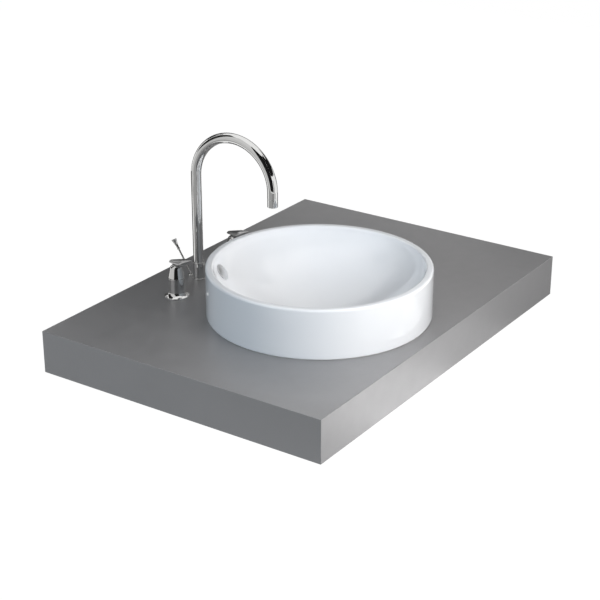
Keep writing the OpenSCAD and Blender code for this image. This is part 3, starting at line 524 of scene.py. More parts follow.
def counter_surface():
    """Satin engineered stone: a grey body full of a fine metallic fleck."""
    satin = Surface("counter satin", (0.36, 0.355, 0.36), 0.4, 0.62)
    grain = satin.noise(1600, 2)
    cloud = satin.noise(7, 3)
    fine = satin.ramp(grain, (0.3, (0.32, 0.316, 0.32)), (0.7, (0.4, 0.395, 0.4)))
    broad = satin.ramp(cloud, (0.35, (0.35, 0.346, 0.35)), (0.65, (0.37, 0.365, 0.37)))
    satin.color(satin.mix(0.5, fine, broad))
    satin.gloss((40, 4), 0.37, 0.43)
    satin.bump(grain, 0.008 * MM)
    return satin.material


def glaze_surface():
    glaze = Surface("white glaze", (0.86, 0.87, 0.89), 0.07)
    glaze.tint((9, 2), (0.85, 0.862, 0.885), (0.87, 0.878, 0.895))
    glaze.gloss((30, 3), 0.05, 0.09)
    glaze.bump(glaze.noise(55, 1), 0.06 * MM)
    glaze.set("Coat Weight", 0.25)
    glaze.set("Coat Roughness", 0.03)
    return glaze.material


def chrome_surface():
    chrome = Surface("polished chrome", (0.77, 0.77, 0.76), 0.04, 1.0)
    chrome.tint((60, 3), (0.75, 0.75, 0.74), (0.79, 0.79, 0.78))
    chrome.gloss((180, 4), 0.03, 0.08, 0.35, 0.75)
    chrome.bump(chrome.noise(90, 1), 0.01 * MM)
    return chrome.material


def satin_chrome_surface(name, tone):
    satin = Surface(name, (tone, tone, tone), 0.34, 1.0)
    satin.tint((60, 3), [tone - 0.03] * 3, [tone + 0.03] * 3)
    satin.gloss((180, 4), 0.3, 0.38, 0.35, 0.75)
    satin.bump(satin.noise(1, 2, (2500, 80, 2500)), 0.005 * MM)
    return satin.material


def brass_surface():
    brass = Surface("machined brass", (0.7, 0.5, 0.24), 0.28, 1.0)
    brass.tint((70, 4), (0.6, 0.41, 0.18), (0.78, 0.58, 0.3))
    brass.gloss((120, 4), 0.2, 0.38)
    brass.bump(brass.noise(1, 2, (60, 60, 3500)), 0.01 * MM)
    return brass.material


def steel_surface():
    steel = Surface("stainless steel", (0.58, 0.58, 0.6), 0.3, 1.0)
    steel.tint((90, 3), (0.52, 0.52, 0.54), (0.64, 0.64, 0.66))
    steel.gloss((1, 3, (900, 900, 60)), 0.22, 0.38)
    steel.bump(steel.noise(1, 2, (2500, 2500, 80)), 0.01 * MM)
    return steel.material


def plastic_surface():
    plastic = Surface("moulded plastic", (0.8, 0.8, 0.79), 0.4)
    plastic.tint((60, 2), (0.78, 0.78, 0.77), (0.83, 0.83, 0.82))
    plastic.gloss((300, 3), 0.34, 0.48)
    plastic.bump(plastic.noise(900, 2), 0.02 * MM)
    return plastic.material


def cartridge_surface():
    ivory = Surface("ivory cartridge", (0.7, 0.66, 0.54), 0.45)
    ivory.tint((80, 2), (0.66, 0.62, 0.5), (0.74, 0.7, 0.58))
    ivory.gloss((300, 3), 0.4, 0.55)
    ivory.bump(ivory.noise(800, 2), 0.02 * MM)
    return ivory.material


def rubber_surface():
    rubber = Surface("black rubber", (0.025, 0.025, 0.026), 0.6)
    rubber.tint((90, 3), (0.02, 0.02, 0.02), (0.035, 0.035, 0.036))
    rubber.gloss((400, 3), 0.5, 0.72)
    rubber.bump(rubber.noise(1200, 2), 0.03 * MM)
    return rubber.material


def sealant_surface():
    sealant = Surface("white sealant", (0.78, 0.78, 0.77), 0.35)
    sealant.tint((50, 2), (0.74, 0.74, 0.73), (0.8, 0.8, 0.79))
    sealant.gloss((120, 3), 0.28, 0.45)
    sealant.bump(sealant.noise(150, 2), 0.08 * MM)
    return sealant.material


def timber_surface():
    timber = Surface("planed softwood", (0.55, 0.38, 0.22), 0.6)
    rings = timber.noise(1, 4, (5, 70, 70))
    pores = timber.noise(1, 3, (40, 900, 900))
    pale = (0.62, 0.44, 0.26)
    dark = (0.5, 0.33, 0.18)
    growth = timber.ramp(rings, (0.35, pale), (0.5, dark), (0.62, (0.6, 0.42, 0.24)))
    timber.color(timber.mix(timber.spread(pores, 0.35, 0.7, 0.0, 0.4), growth, (0.4, 0.26, 0.14)))
    timber.roughness(timber.spread(pores, 0.3, 0.7, 0.5, 0.75))
    timber.bump(pores, 0.08 * MM)
    timber.bump(rings, 0.1 * MM)
    return timber.material


surfaces = {
    "counter": counter_surface(),
    "timber": timber_surface(),
    "steel": steel_surface(),
    "glaze": glaze_surface(),
    "sealant": sealant_surface(),
    "white_plastic": plastic_surface(),
    "chrome": chrome_surface(),
    "brass": brass_surface(),
    "rubber": rubber_surface(),
    "cartridge": cartridge_surface(),
}
# The levers and the overflow's cover are chrome like the rest, but with a satin face. This one satin
# chrome comes in two tones that carry painted light: the levers' tone is darkened as painted shade, and
# the cover's is made pale as painted light
lever_satin_painted_dark = satin_chrome_surface("satin chrome", 0.62)
satin = {
    "hot_lever": lever_satin_painted_dark,
    "cold_lever": lever_satin_painted_dark,
    "overflow_cover": satin_chrome_surface("satin chrome painted pale", 0.84),
}


def dress(piece, node):
    """Gives a piece its node's finish and body, and shows it in the node's place."""
    slot = slots[node]
    piece.data.materials.clear()
    piece.data.materials.append(satin.get(node, surfaces[slot]))
    for face in piece.data.polygons:
        face.material_index = 0
    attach(piece, nodes[node]["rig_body"])
    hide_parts(node)
    return piece


def finished(node, width):
    """A copy of a node's shape, joined into clean faces with its edges eased."""
    mesh = bmesh.new()
    mesh.from_mesh(nodes[node].data)
    bmesh.ops.remove_doubles(mesh, verts=mesh.verts, dist=0.002 * MM)
    bmesh.ops.dissolve_limit(mesh, angle_limit=radians(0.3), verts=mesh.verts, edges=mesh.edges)
    piece = add_object(node + "_finished", mesh)
    bevel = piece.modifiers.new("eased edges", "BEVEL")
    bevel.width = width
    bevel.segments = 2
    bevel.limit_method = "ANGLE"
    bevel.angle_limit = SMOOTH_ANGLE
    bevel.harden_normals = True
    return dress(piece, node)


# Counter

X0 = low("counter_top").x
X1 = high("counter_top").x
Y0 = low("counter_top").y
Y1 = high("counter_top").y
TOP_Z = high("counter_top").z
PANEL_Z = low("counter_top").z
PANEL = TOP_Z - PANEL_Z
BASIN_R = half_width("basin")
RIM_Z = high("basin").z
FOOT_Z = high("basin_seal").z
BOSS_Z = low("basin").z
BOWL_R = BASIN_R - RIM_WIDTH
BOWL_FLOOR_Z = RIM_Z - BOWL_DEPTH


def counter_block():
    """The whole slab's outside, with its outer arrises rounded."""
    mesh = bmesh.new()
    bmesh.ops.create_cube(mesh, size=1)
    bmesh.ops.scale(mesh, vec=(X1 - X0, Y1 - Y0, TOP_Z), verts=mesh.verts)
    bmesh.ops.translate(mesh, vec=((X0 + X1) / 2, (Y0 + Y1) / 2, TOP_Z / 2), verts=mesh.verts)
    bmesh.ops.bevel(mesh, geom=mesh.edges[:], offset=ARRIS, segments=4, profile=0.5, affect="EDGES")
    return mesh


def counter_panel(name, planes):
    """One board of the slab: the block, cut by planes that each point out of the board."""
    mesh = counter_block()
    for point, outward in planes:
        whole = mesh.verts[:] + mesh.edges[:] + mesh.faces[:]
        made = bmesh.ops.bisect_plane(
            mesh, geom=whole, plane_co=point, plane_no=outward, clear_outer=True, dist=1e-7,
        )
        edges = [e for e in made["geom_cut"] if isinstance(e, bmesh.types.BMEdge)]
        bmesh.ops.contextual_create(mesh, geom=edges)
    piece = add_object(name + "_board", mesh)
    even_shading(piece)
    return piece


def counter_holes():
    """Cutters for the basin's opening in the top and for the tap's holes."""
    holes = [(Vector((0, 0, 0)), half_width("basin_seal") - LEDGE)]
    holes += [(middle(side + "_flange"), HANDLE_HOLE_R) for side in SIDES]
    holes += [(middle("spout_base_ring"), SPOUT_HOLE_R), (middle("lift_guide"), GUIDE_R + FIT)]
    cutters = []
    for place, radius in holes:
        start = Matrix.Translation((place.x, place.y, PANEL_Z - PANEL))
        cutters.append(drill("hole", radius, 3 * PANEL, start, 128))
    return cutters


def counter_pieces():
    """Five boards with mitred joints, and the top's holes."""
    corner_low = Vector((X0, Y0, TOP_Z))
    corner_high = Vector((X1, Y1, TOP_Z))
    sides = {
        "left": (corner_low, Vector((1, 0, 0))),
        "front": (corner_low, Vector((0, 1, 0))),
        "right": (corner_high, Vector((-1, 0, 0))),
        "back": (corner_high, Vector((0, -1, 0))),
    }
    neighbours = {
        "left": ("front", "back"), "right": ("front", "back"),
        "front": ("left", "right"), "back": ("left", "right"),
    }
    up = Vector((0, 0, 1))
    for side, (corner, inward) in sides.items():
        planes = [(corner, inward + up), (corner + inward * PANEL, inward)]
        for other in neighbours[side]:
            other_corner, other_inward = sides[other]
            meeting = Vector((
                corner.x if inward.x else other_corner.x,
                corner.y if inward.y else other_corner.y,
                0,
            ))
            planes.append((meeting, inward - other_inward))
        dress(counter_panel("counter_" + side, planes), "counter_" + side)
    planes = [(corner, -(inward + up)) for corner, inward in sides.values()]
    planes.append((Vector((0, 0, PANEL_Z)), -up))
    top = counter_panel("counter_top", planes)
    cut(top, *counter_holes())
    dress(top, "counter_top")


# Basin


def bowl_points(half, depth, r_from, r_to, steps=72):
    """Points along the bowl's curve, a superellipse, from one radius to another."""
    turn_from = acos((r_from / half) ** (BOWL_CURVE / 2))
    turn_to = acos((r_to / half) ** (BOWL_CURVE / 2))
    points = []
    for i in range(steps + 1):
        a = turn_from + (turn_to - turn_from) * i / steps
        fall = depth * sin(a) ** (2 / BOWL_CURVE)
        points.append((half * cos(a) ** (2 / BOWL_CURVE), RIM_Z - fall))
    return points


def bowl_radius(depth):
    return BOWL_R * (1 - (depth / BOWL_DEPTH) ** BOWL_CURVE) ** (1 / BOWL_CURVE)


def overflow_matrix():
    """Places local Z along the bowl's normal at the overflow's centre."""
    radius = bowl_radius(OVERFLOW_DEPTH)
    slope = BOWL_R / BOWL_DEPTH * (OVERFLOW_DEPTH / BOWL_DEPTH) ** (BOWL_CURVE - 1)
    lean = atan(slope / (radius / BOWL_R) ** (BOWL_CURVE - 1))
    turned = Matrix.Rotation(radians(OVERFLOW_AZIMUTH), 4, "Z")
    moved = Matrix.Translation((radius, 0, RIM_Z - OVERFLOW_DEPTH))
    return turned @ moved @ Matrix.Rotation(lean - pi / 2, 4, "Y")


def channel_outline(inner, outer, r_in, r_out, top):
    """The overflow channel's section under the bowl, between two offsets of the bowl's curve."""

    def offset(by):
        curve = bowl_points(BOWL_R + by, BOWL_DEPTH + by, BOWL_R + by, r_in, 40)
        return [p for p in curve if p[1] < top and p[0] < r_out]

    under = offset(inner)
    over = offset(outer)
    edge = min(r_out, over[0][0] + WELD)
    return [(under[0][0], top), (edge, top), (edge, over[0][1])] + over + under[::-1]


def basin_outline():
    """The bowl, rim, skirt and drain boss in section, from the waste hole round to it again."""
    skirt_r = BASIN_R - SKIRT
    seat_z = BOWL_FLOOR_Z - RECESS_DEPTH
    recess_edge = RECESS_R + RECESS_ROUND
    outer_edge = (BASIN_R - RIM_OUTER_ROUND, RIM_Z - RIM_OUTER_ROUND)
    inner_edge = (BOWL_R + RIM_INNER_ROUND, RIM_Z - RIM_INNER_ROUND)
    foot = [(skirt_r, FOOT_Z, FOOT_ROUND), (BASIN_R, FOOT_Z, FOOT_ROUND), (BASIN_R, RIM_Z, 0)]
    side = steps_between(FOOT_Z + 2 * FOOT_ROUND, outer_edge[1] - MM, 6 * MM)
    outline = [(WASTE_HOLE_R, BOSS_Z), (BOSS_R, BOSS_Z)]
    outline += bowl_points(BOWL_R + SHELL, BOWL_DEPTH + SHELL, BOSS_R, skirt_r)
    outline += rounded(foot)[:-1] + [(BASIN_R, z) for z in side]
    outline += arc(outer_edge, RIM_OUTER_ROUND, 0, 90, 10)
    outline += arc(inner_edge, RIM_INNER_ROUND, 90, 170, 10)
    outline += bowl_points(BOWL_R, BOWL_DEPTH, bowl_radius(RIM_INNER_ROUND), recess_edge, 120)
    outline += arc((recess_edge, BOWL_FLOOR_Z - RECESS_ROUND), RECESS_ROUND, 90, 180, 6)
    return outline + [(RECESS_R, seat_z), (WASTE_HOLE_R, seat_z)]


def basin_piece():
    """The glazed basin in one piece, with the overflow's duct on its back."""
    basin = lathe("basin_glazed", basin_outline(), steps=360)
    basin.modifiers.clear()
    reach = SHELL + CHANNEL + CHANNEL_WALL
    duct_top = RIM_Z - OVERFLOW_DEPTH + OVERFLOW_HOLE_R + WELD
    duct = channel_outline(SHELL - WELD, reach, BOSS_R - WELD, BASIN_R - SKIRT + WELD, duct_top)
    upright = Matrix.Rotation(radians(OVERFLOW_AZIMUTH), 4, "Z")
    combine(basin, [slab("duct", duct, CHANNEL_WIDTH + 2 * CHANNEL_WALL, upright)], "UNION")
    at_hole = overflow_matrix()
    through = at_hole @ Matrix.Translation((0, 0, -SHELL - WELD))
    recess = at_hole @ Matrix.Translation((0, 0, -INSERT_FLANGE))
    recess_r = OVERFLOW_HOLE_R + INSERT_LIP + SMALL
    cut(
        basin,
        drill("hole", OVERFLOW_HOLE_R, SHELL + 3 * WELD, through),
        drill("recess", recess_r, 3 * WELD, recess),
    )
    dress(basin, "basin")


def seal_piece():
    """The bead of sealant under the skirt."""
    foot = low("basin_seal").z
    top = high("basin_seal").z
    outer = half_width("basin_seal")
    inner = outer - SEAL_WIDTH
    soft = (top - foot) * 0.4
    outline = rounded([(inner, foot, 0), (outer, foot, soft), (outer, top, soft), (inner, top, 0)])
    dress(lathe("basin_seal_bead", outline, steps=240), "basin_seal")


def overflow_sleeve():
    """The white sleeve in the overflow hole."""
    hole = OVERFLOW_HOLE_R
    lip = hole + INSERT_LIP
    corners = [
        (hole - INSERT_WALL, 0), (hole - INSERT_WALL, -INSERT_LENGTH), (hole - FIT, -INSERT_LENGTH),
        (hole - FIT, -INSERT_FLANGE), (lip, -INSERT_FLANGE), (lip, 0),
    ]
    outline = rounded([(r, z, SMALL) for r, z in corners])
    dress(lathe("overflow_sleeve", outline, steps=72, matrix=overflow_matrix()), "overflow_insert")


def overflow_cover():
    """The domed cover over the overflow, with slits under its edge that let the water in."""
    at_hole = overflow_matrix()
    ring = OVERFLOW_HOLE_R - INSERT_WALL - FIT
    bore = ring - COVER_RING_WALL
    crown = COVER_STANDOFF + COVER_THICKNESS
    drop = sagitta(COVER_DOME_R, COVER_R)
    outline = [(0, COVER_STANDOFF), (bore, COVER_STANDOFF), (bore, -SHELL), (ring, -SHELL)]
    outline += rounded([
        (ring, COVER_STANDOFF, SMALL), (COVER_R, COVER_STANDOFF, SMALL),
        (COVER_R, crown - drop, COVER_EDGE_ROUND), (COVER_R * 0.8, crown - drop * 0.64, 0),
    ])[:-1]
    outline += dome(COVER_R * 0.86, crown, COVER_DOME_R, 10)
    cover = lathe("overflow_cover_domed", outline, steps=96, matrix=at_hole)
    corner = (-OVERFLOW_HOLE_R, -COVER_SLIT / 2, 0.2 * MM)
    size = (2 * OVERFLOW_HOLE_R, COVER_SLIT, COVER_STANDOFF - 0.4 * MM)
    cut(cover, *slits(corner, size, at_hole))
    dress(cover, "overflow_cover")


# Waste


def waste_piece():
    """The flanged waste, with its thread and its slits for the overflow."""
    top = high("waste_body").z
    bottom = low("waste_body").z
    flange_r = half_width("waste_body")
    flange_z = top - WASTE_FLANGE
    thread_top = BOSS_Z - MM
    lead = 0.6 * MM
    outline = [(WASTE_BORE_R, bottom), (WASTE_THREAD_R - lead, bottom)]
    outline += [(WASTE_THREAD_R, z) for z in steps_between(bottom + lead, thread_top, THREAD_STEP)]
    outline.append((WASTE_THREAD_R, flange_z))
    outline += rounded([
        (WASTE_THREAD_R, flange_z, 0), (flange_r, flange_z, 0.4 * MM),
        (flange_r - 1.5 * MM, top, 1.2 * MM), (WASTE_CONE_R, top, 0.8 * MM),
        (WASTE_BORE_R, top - WASTE_CONE_DEPTH, MM), (WASTE_BORE_R, bottom, 0),
    ])[1:-1]
    body = lathe("waste_body_turned", outline, steps=120)
    cut_thread(body, Vector((0, 0, 0)), WASTE_THREAD_R, bottom, thread_top, THREAD_PITCH, 0.7 * MM)
    corner = (-flange_r, -WASTE_SLIT / 2, BOSS_Z + 8 * MM)
    cut(body, *slits(corner, (2 * flange_r, WASTE_SLIT, CHANNEL)))
    dress(body, "waste_body")


def plug_piece():
    """The plug's domed cap."""
    top = high("plug_cap").z
    disc_r = half_width("plug_cap")
    disc_z = top - PLUG_DISC
    neck_z = disc_z - PLUG_NECK
    drop = sagitta(PLUG_DOME_R, disc_r)
    outline = [(0, disc_z - 0.8 * MM)]
    outline += rounded([
        (PLUG_SOCKET_R, disc_z - MM, 0), (PLUG_SOCKET_R, neck_z, 0.3 * MM),
        (PLUG_NECK_R, neck_z, 0.5 * MM), (PLUG_NECK_R, disc_z, 0.2 * MM), (disc_r, disc_z, 0.5 * MM),
        (disc_r, top - drop, 1.1 * MM), (disc_r * 0.8, top - drop * 0.64, 0),
    ])[:-1]
    outline += dome(disc_r * 0.88, top, PLUG_DOME_R, 12)
    dress(lathe("plug_cap_domed", outline, steps=120), "plug_cap")


# Tap


def gooseneck_piece():
    """The bent tube, from its foot to the outlet's shell."""
    axis = middle("spout_collar")
    spring = high("spout_tube").z - TUBE_R - BEND_R
    bend = arc((axis.y - BEND_R, spring), BEND_R, 0, 180, BEND_STEPS)
    path = [Vector((axis.x, axis.y, low("spout_tube").z))]
    path += [Vector((axis.x, y, z)) for y, z in bend]
    path.append(Vector((axis.x, axis.y - 2 * BEND_R, high("aerator_shell").z)))
    dress(pipe("spout_gooseneck", path, TUBE_R, TUBE_R - TUBE_WALL, 64), "spout_tube")


def ring_piece(name, node, bore, outer, rounds):
    """A plain ring in a node's place, with the rounds in mm of its four corners:
    the foot's inside and outside, then the top's outside and inside."""
    axis = middle(node)
    foot = low(node).z
    top = high(node).z
    corners = [(bore, foot), (outer, foot), (outer, top), (bore, top)]
    outline = rounded([(*corner, size * MM) for corner, size in zip(corners, rounds)])
    return lathe(name, outline, (axis.x, axis.y, 0), 96)


def spout_pieces():
    """The gooseneck with its collar, grub screw and outlet shell, and its fixed ring and shank."""
    gooseneck_piece()
    collar_r = half_width("spout_collar")
    collar = ring_piece("spout_collar_turned", "spout_collar", TUBE_R, collar_r, (0, 0.5, 0.9, 0))
    cut(collar, screw_hole("spout_collar", "spout_screw"))
    dress(collar, "spout_collar")
    grub_screw("spout_screw")
    bore = TUBE_R - TUBE_WALL
    shell = ring_piece("aerator_shell_turned", "aerator_shell", bore, TUBE_R, (0.3, 0.7, 0.6, 0))
    dress(shell, "aerator_shell")
    foot_r = half_width("spout_base_ring")
    bore = SHANK_R + FIT
    foot = ring_piece("spout_base_ring_turned", "spout_base_ring", bore, foot_r, (0, 0.2, 0.9, 0))
    dress(foot, "spout_base_ring")
    shank_piece()


def screw_hole(node, screw):
    """A cutter for a grub screw's hole, from a turned node's axis out towards +Y."""
    start = Matrix.Translation((middle(node).x, middle(node).y, middle(screw).z))
    matrix = start @ Matrix.Rotation(-pi / 2, 4, "X")
    return drill("hole", GRUB_R + 0.1 * MM, 2 * half_width(node), matrix, 32)


def grub_screw(node):
    """A small socket screw that points along +Y."""
    start = low(node).y
    length = high(node).y - start
    radius = half_width(node)
    at = Matrix.Translation((middle(node).x, start, middle(node).z))
    matrix = at @ Matrix.Rotation(-pi / 2, 4, "X")
    outline = rounded([
        (0, 0, 0), (radius * 0.6, 0, 0), (radius, radius * 0.4, 0.1 * MM),
        (radius, length, 0.2 * MM), (0, length, 0),
    ], 3)
    screw = lathe(node + "_turned", outline, steps=32, matrix=matrix)
    socket = matrix @ Matrix.Translation((0, 0, length - MM))
    cut(screw, drill("socket", radius * 0.55, 2 * MM, socket, 6))
    dress(screw, node)


def shank_piece():
    """The threaded brass tail under the spout and the spigot that the spout turns on."""
    axis = middle("spout_shank")
    bottom = low("spout_shank").z
    top = high("spout_shank").z
    shank_r = half_width("spout_shank")
    spigot_r = TUBE_R - TUBE_WALL - FIT
    bore = spigot_r - SHANK_WALL
    ring_top = high("spout_base_ring").z
    lead = 0.5 * MM
    outline = [(bore, bottom), (shank_r - lead, bottom)]
    outline += [(shank_r, z) for z in steps_between(bottom + lead, PANEL_Z, THREAD_STEP)]
    outline += [(shank_r, ring_top), (spigot_r, ring_top)]
    outline += [(spigot_r, top - lead), (spigot_r - lead, top), (bore, top)]
    shank = lathe("spout_shank_threaded", outline, (axis.x, axis.y, 0), 72)
    cut_thread(shank, axis, shank_r, bottom, PANEL_Z, THREAD_PITCH, 0.6 * MM)
    dress(shank, "spout_shank")


def taut_line(points):
    """The upper side of a line pulled taut round points."""
    line = []
    for x, y in sorted(points):
        while len(line) > 1:
            (x0, y0), (x1, y1) = line[-2:]
            if (x1 - x0) * (y - y0) < (y1 - y0) * (x - x0):
                break
            line.pop()
        line.append((x, y))
    return line


def height_at(line, place):
    """A line's height at a place between its ends."""
    for (x0, y0), (x1, y1) in zip(line, line[1:]):
        if x0 < x1 and place <= x1:
            return y0 + (y1 - y0) * (place - x0) / (x1 - x0)


def lever_sections():
    """Places along the lever between its ends, with half the width, half the thickness and the height."""
    plan, over, under = [], [], []
    for place, height, length, width, thickness in (
        (LEVER_BACK - HEEL_LENGTH / 2, 0, HEEL_LENGTH, HEEL_WIDTH, HEEL_THICKNESS),
        (-CROWN_AHEAD, -CROWN_DROP, LEVER_WIDTH, LEVER_WIDTH, LEVER_THICKNESS),
        (TIP_R - LEVER_FRONT, 0, 2 * TIP_R, 2 * TIP_R, 2 * TIP_R),
    ):
        for across, up in arc((0, 0), 0.5, 0, 180, 180):
            plan.append((place + length * across, width * up))
            over.append((place + length * across, thickness * up + height))
            under.append((place + length * across, thickness * up - height))
    lines = [taut_line(points) for points in (plan, over, under)]
    sections = []
    for i in range(1, LEVER_STEPS):
        along = (1 + cos(pi * i / LEVER_STEPS)) / 2
        place = (LEVER_BACK + LEVER_FRONT) * along - LEVER_FRONT
        wide, top, bottom = [height_at(line, place) for line in lines]
        sections.append((place, wide, (top + bottom) / 2, (top - bottom) / 2))
    return sections


def lever_piece(side, at):
    """A drop-shaped lever on a round neck, lofted from its heel to its tip."""
    hub_top = high(side + "_hub").z
    mesh = bmesh.new()
    turns = [2 * pi * i / LEVER_SIDES for i in range(LEVER_SIDES)]
    rings = [[mesh.verts.new((0, LEVER_BACK, 0))]]
    for place, wide, thick, height in lever_sections():
        points = [(wide * cos(a), place, height + thick * sin(a)) for a in turns]
        rings.append([mesh.verts.new(point) for point in points])
    rings.append([mesh.verts.new((0, -LEVER_FRONT, 0))])
    for lower, upper in zip(rings, rings[1:]):
        stitch(mesh, lower, upper, LEVER_SIDES)
    lifted = Matrix.Translation((at[0], at[1], hub_top + LEVER_LIFT))
    leaf = add_object(side + "_lever_leaf", mesh, lifted @ Matrix.Rotation(radians(-LEVER_RISE), 4, "X"))
    neck_r = HUB_TOP_R - HUB_ROUND
    neck_top = hub_top + 0.8 * LEVER_LIFT
    neck = lathe("neck", [(0, hub_top), (neck_r, hub_top), (neck_r, neck_top), (0, neck_top)], at, 64)
    neck.modifiers.clear()
    combine(leaf, [neck], "UNION")
    dress(leaf, side + "_lever")


def flange_piece(side, at):
    """The flared foot on the counter."""
    foot = low(side + "_flange").z
    top = high(side + "_flange").z
    flange_r = half_width(side + "_flange")
    cover_r = half_width(side + "_cover")
    neck = VALVE_R + FIT
    throat = cover_r + SMALL
    flare = flange_r - 0.8 * MM - throat
    brim = foot + 2 * MM
    outline = rounded([
        (neck, foot, 0), (flange_r, foot, 0.2 * MM), (flange_r, foot + 1.5 * MM, 0.5 * MM),
    ])
    for i in range(25):
        t = i / 24
        outline.append((throat + flare * (1 - t) ** 2, brim + (top - brim) * t))
    outline += [(cover_r - MM, top), (neck, top)]
    dress(lathe(side + "_flange_flared", outline, at, 128), side + "_flange")


def cover_piece(side, at):
    """The straight cover over the valve."""
    foot = high(side + "_flange").z
    top = high(side + "_cover").z
    cover_r = half_width(side + "_cover")
    neck = VALVE_R + FIT
    outline = rounded([(neck, foot, 0), (cover_r, foot, SMALL), (cover_r, top, MM), (neck, top, SMALL)])
    dress(lathe(side + "_cover_turned", outline, at, 96), side + "_cover")


def hub_piece(side, at):
    """The domed hub, bored for its spindle and its grub screw."""
    foot = low(side + "_hub").z
    top = high(side + "_hub").z
    cover_r = half_width(side + "_cover")
    bore = SPINDLE_R + FIT
    bore_top = high(side + "_spindle").z + SMALL
    crown = arc((HUB_TOP_R - HUB_ROUND, top - HUB_ROUND), HUB_ROUND, 12, 90, 20)
    outline = [(0, bore_top), (bore, bore_top), (bore, foot)]
    outline += rounded([
        (bore, foot, 0), (cover_r, foot, MM), (cover_r, foot + 1.5 * MM, 0.4 * MM), (*crown[0], 0),
    ])[1:-1]
    outline += crown + [(0, top)]
    hub = lathe(side + "_hub_turned", outline, at, 96)
    cut(hub, screw_hole(side + "_hub", side + "_screw"))
    dress(hub, side + "_hub")


def handle_pieces(side):
    """One handle, from the flange on the counter to the lever."""
    axis = middle(side + "_flange")
    at = (axis.x, axis.y, 0)
    flange_piece(side, at)
    cover_piece(side, at)
    hub_piece(side, at)
    grub_screw(side + "_screw")
    lever_piece(side, at)


# Lift rod


def rod_piece():
    """The lift rod with its leaning end, which the knob sits on. Gives back the knob's place."""
    guide = middle("lift_guide")
    bend_z = high("lift_guide").z + MM
    path = [Vector((guide.x, guide.y, z)) for z in (low("lift_rod").z, bend_z - 0.5 * MM)]
    for y, z in arc((-guide.y - ROD_BEND_R, bend_z), ROD_BEND_R, 0, ROD_LEAN, 10):
        path.append(Vector((guide.x, -y, z)))
    lean = Matrix.Translation(path[-1]) @ Matrix.Rotation(-radians(ROD_LEAN), 4, "X")
    knob = lean @ Matrix.Translation((0, 0, LEAN_LENGTH - KNOB_LENGTH))
    path.append(knob @ Vector((0, 0, 3.9 * MM)))
    dress(pipe("lift_rod_bent", path, ROD_R, sides=32), "lift_rod")
    return knob


def knob_piece(place):
    """The flared knob, with a socket for the rod."""
    neck = ROD_R + 0.7 * MM
    brim = neck + 0.8 * MM
    bore = ROD_R + FIT
    socket = 4.2 * MM
    flare_h = KNOB_LENGTH - 3.4 * MM
    outline = [(0, socket), (bore, socket)]
    outline += rounded([(bore, 0, 0), (brim, 0, SMALL), (brim, 2 * MM, 0.5 * MM), (neck, 2.2 * MM, 0)])
    for i in range(1, 12):
        t = i / 12
        outline.append((neck + (KNOB_R - neck) * t ** 2, 2 * MM + flare_h * t))
    outline += arc((KNOB_R - KNOB_ROUND, KNOB_LENGTH - KNOB_ROUND), KNOB_ROUND, 0, 90, 8)
    outline.append((0, KNOB_LENGTH))
    dress(lathe("lift_knob_flared", outline, steps=64, matrix=place), "lift_knob")


def guide_piece():
    """The guide in the counter that the rod slides in."""
    axis = middle("lift_guide")
    head_r = half_width("lift_guide")
    top = high("lift_guide").z
    bottom = low("lift_guide").z
    bore = ROD_R + FIT
    outline = rounded([
        (bore, bottom, 0), (GUIDE_R, bottom, SMALL), (GUIDE_R, TOP_Z, 0), (head_r, TOP_Z, 0.2 * MM),
        (head_r - 0.5 * MM, top - 1.8 * MM, MM), (head_r - 1.6 * MM, top, 0.8 * MM), (bore, top, SMALL),
    ])
    dress(lathe("lift_guide_turned", outline, (axis.x, axis.y, 0), 64), "lift_guide")


counter_pieces()
basin_piece()
seal_piece()
overflow_sleeve()
overflow_cover()
waste_piece()
plug_piece()
spout_pieces()
for handle_side in SIDES:
    handle_pieces(handle_side)
knob_piece(rod_piece())
guide_piece()
for eased_node, eased_width in EASED.items():
    finished(eased_node, eased_width * MM)


# Studio

FLOOR_Z = -0.8
FLOOR_HALF = 6.0
FLOOR_GLOW = 1.1
WORLD_LIGHT = 0.175
# Panels and dark flags that only reflections see, each nearer than the one before: azimuth from +X and
# elevation, from and to, and their tone
CARD_DISTANCE = 1.5
CARDS = {
    "front_left": (-112, -96, -6, 20, 0.37),
    "low_left": (-158, -112, -30, -6, 0.27),
    "low_front": (-112, -60, -30, -6, 0.64),
    "low_front_right": (-60, -36, -30, -6, 1.45),
    "low_right": (-36, -12, -30, -6, 0.27),
    "right_low": (-10, 42, -25, 2, 0.27),
    "right_near": (12, 27, 2, 22, 0.6),
    "right_far": (27, 42, 2, 22, 0.55),
    "right_high": (-10, 16, 15, 44, 0.45),
    "right_back": (16, 42, 22, 44, 0.24),
    "back": (42, 74, 12, 42, 0.01),
    "left_low": (124, 202, -30, -5, 0.38),
    "left_middle": (100, 172, -5, 30, 0.62),
    "left_high": (124, 202, 30, 66, 0.7),
    "flag_front_left": (-188, -121, -4, 68, 0.012),
    "flag_front_high": (-120, -50, 29, 68, 0.012),
    "flag_front_right": (-54, 0, 25, 55, 0.012),
    "flag_low_right": (-14, 12, 2, 15, 0.02),
    "flag_back_line": (81, 91, 28, 48, 0.012),
    "flag_back_left": (96, 124, 13, 58, 0.02),
}
# Flat panels that only reflections see, bright ones under the front edge and dark ones behind the
# counter: middle, size, tilt about X in degrees, and tone
FLAT_PANELS = {
    "under_left": ((0.1, -0.5, -0.12), (0.35, 0.4), 0, 1.9),
    "under_middle": ((0.42, -0.5, -0.12), (0.29, 0.4), 0, 0.95),
    "under_right": ((0.75, -0.5, -0.12), (0.37, 0.4), 0, 0.4),
    "behind": ((0.2, 0.62, 0.03), (0.6, 0.44), 90, 0.08),
    "behind_high": ((0.3, 0.62, 0.43), (0.5, 0.36), 90, 0.03),
}


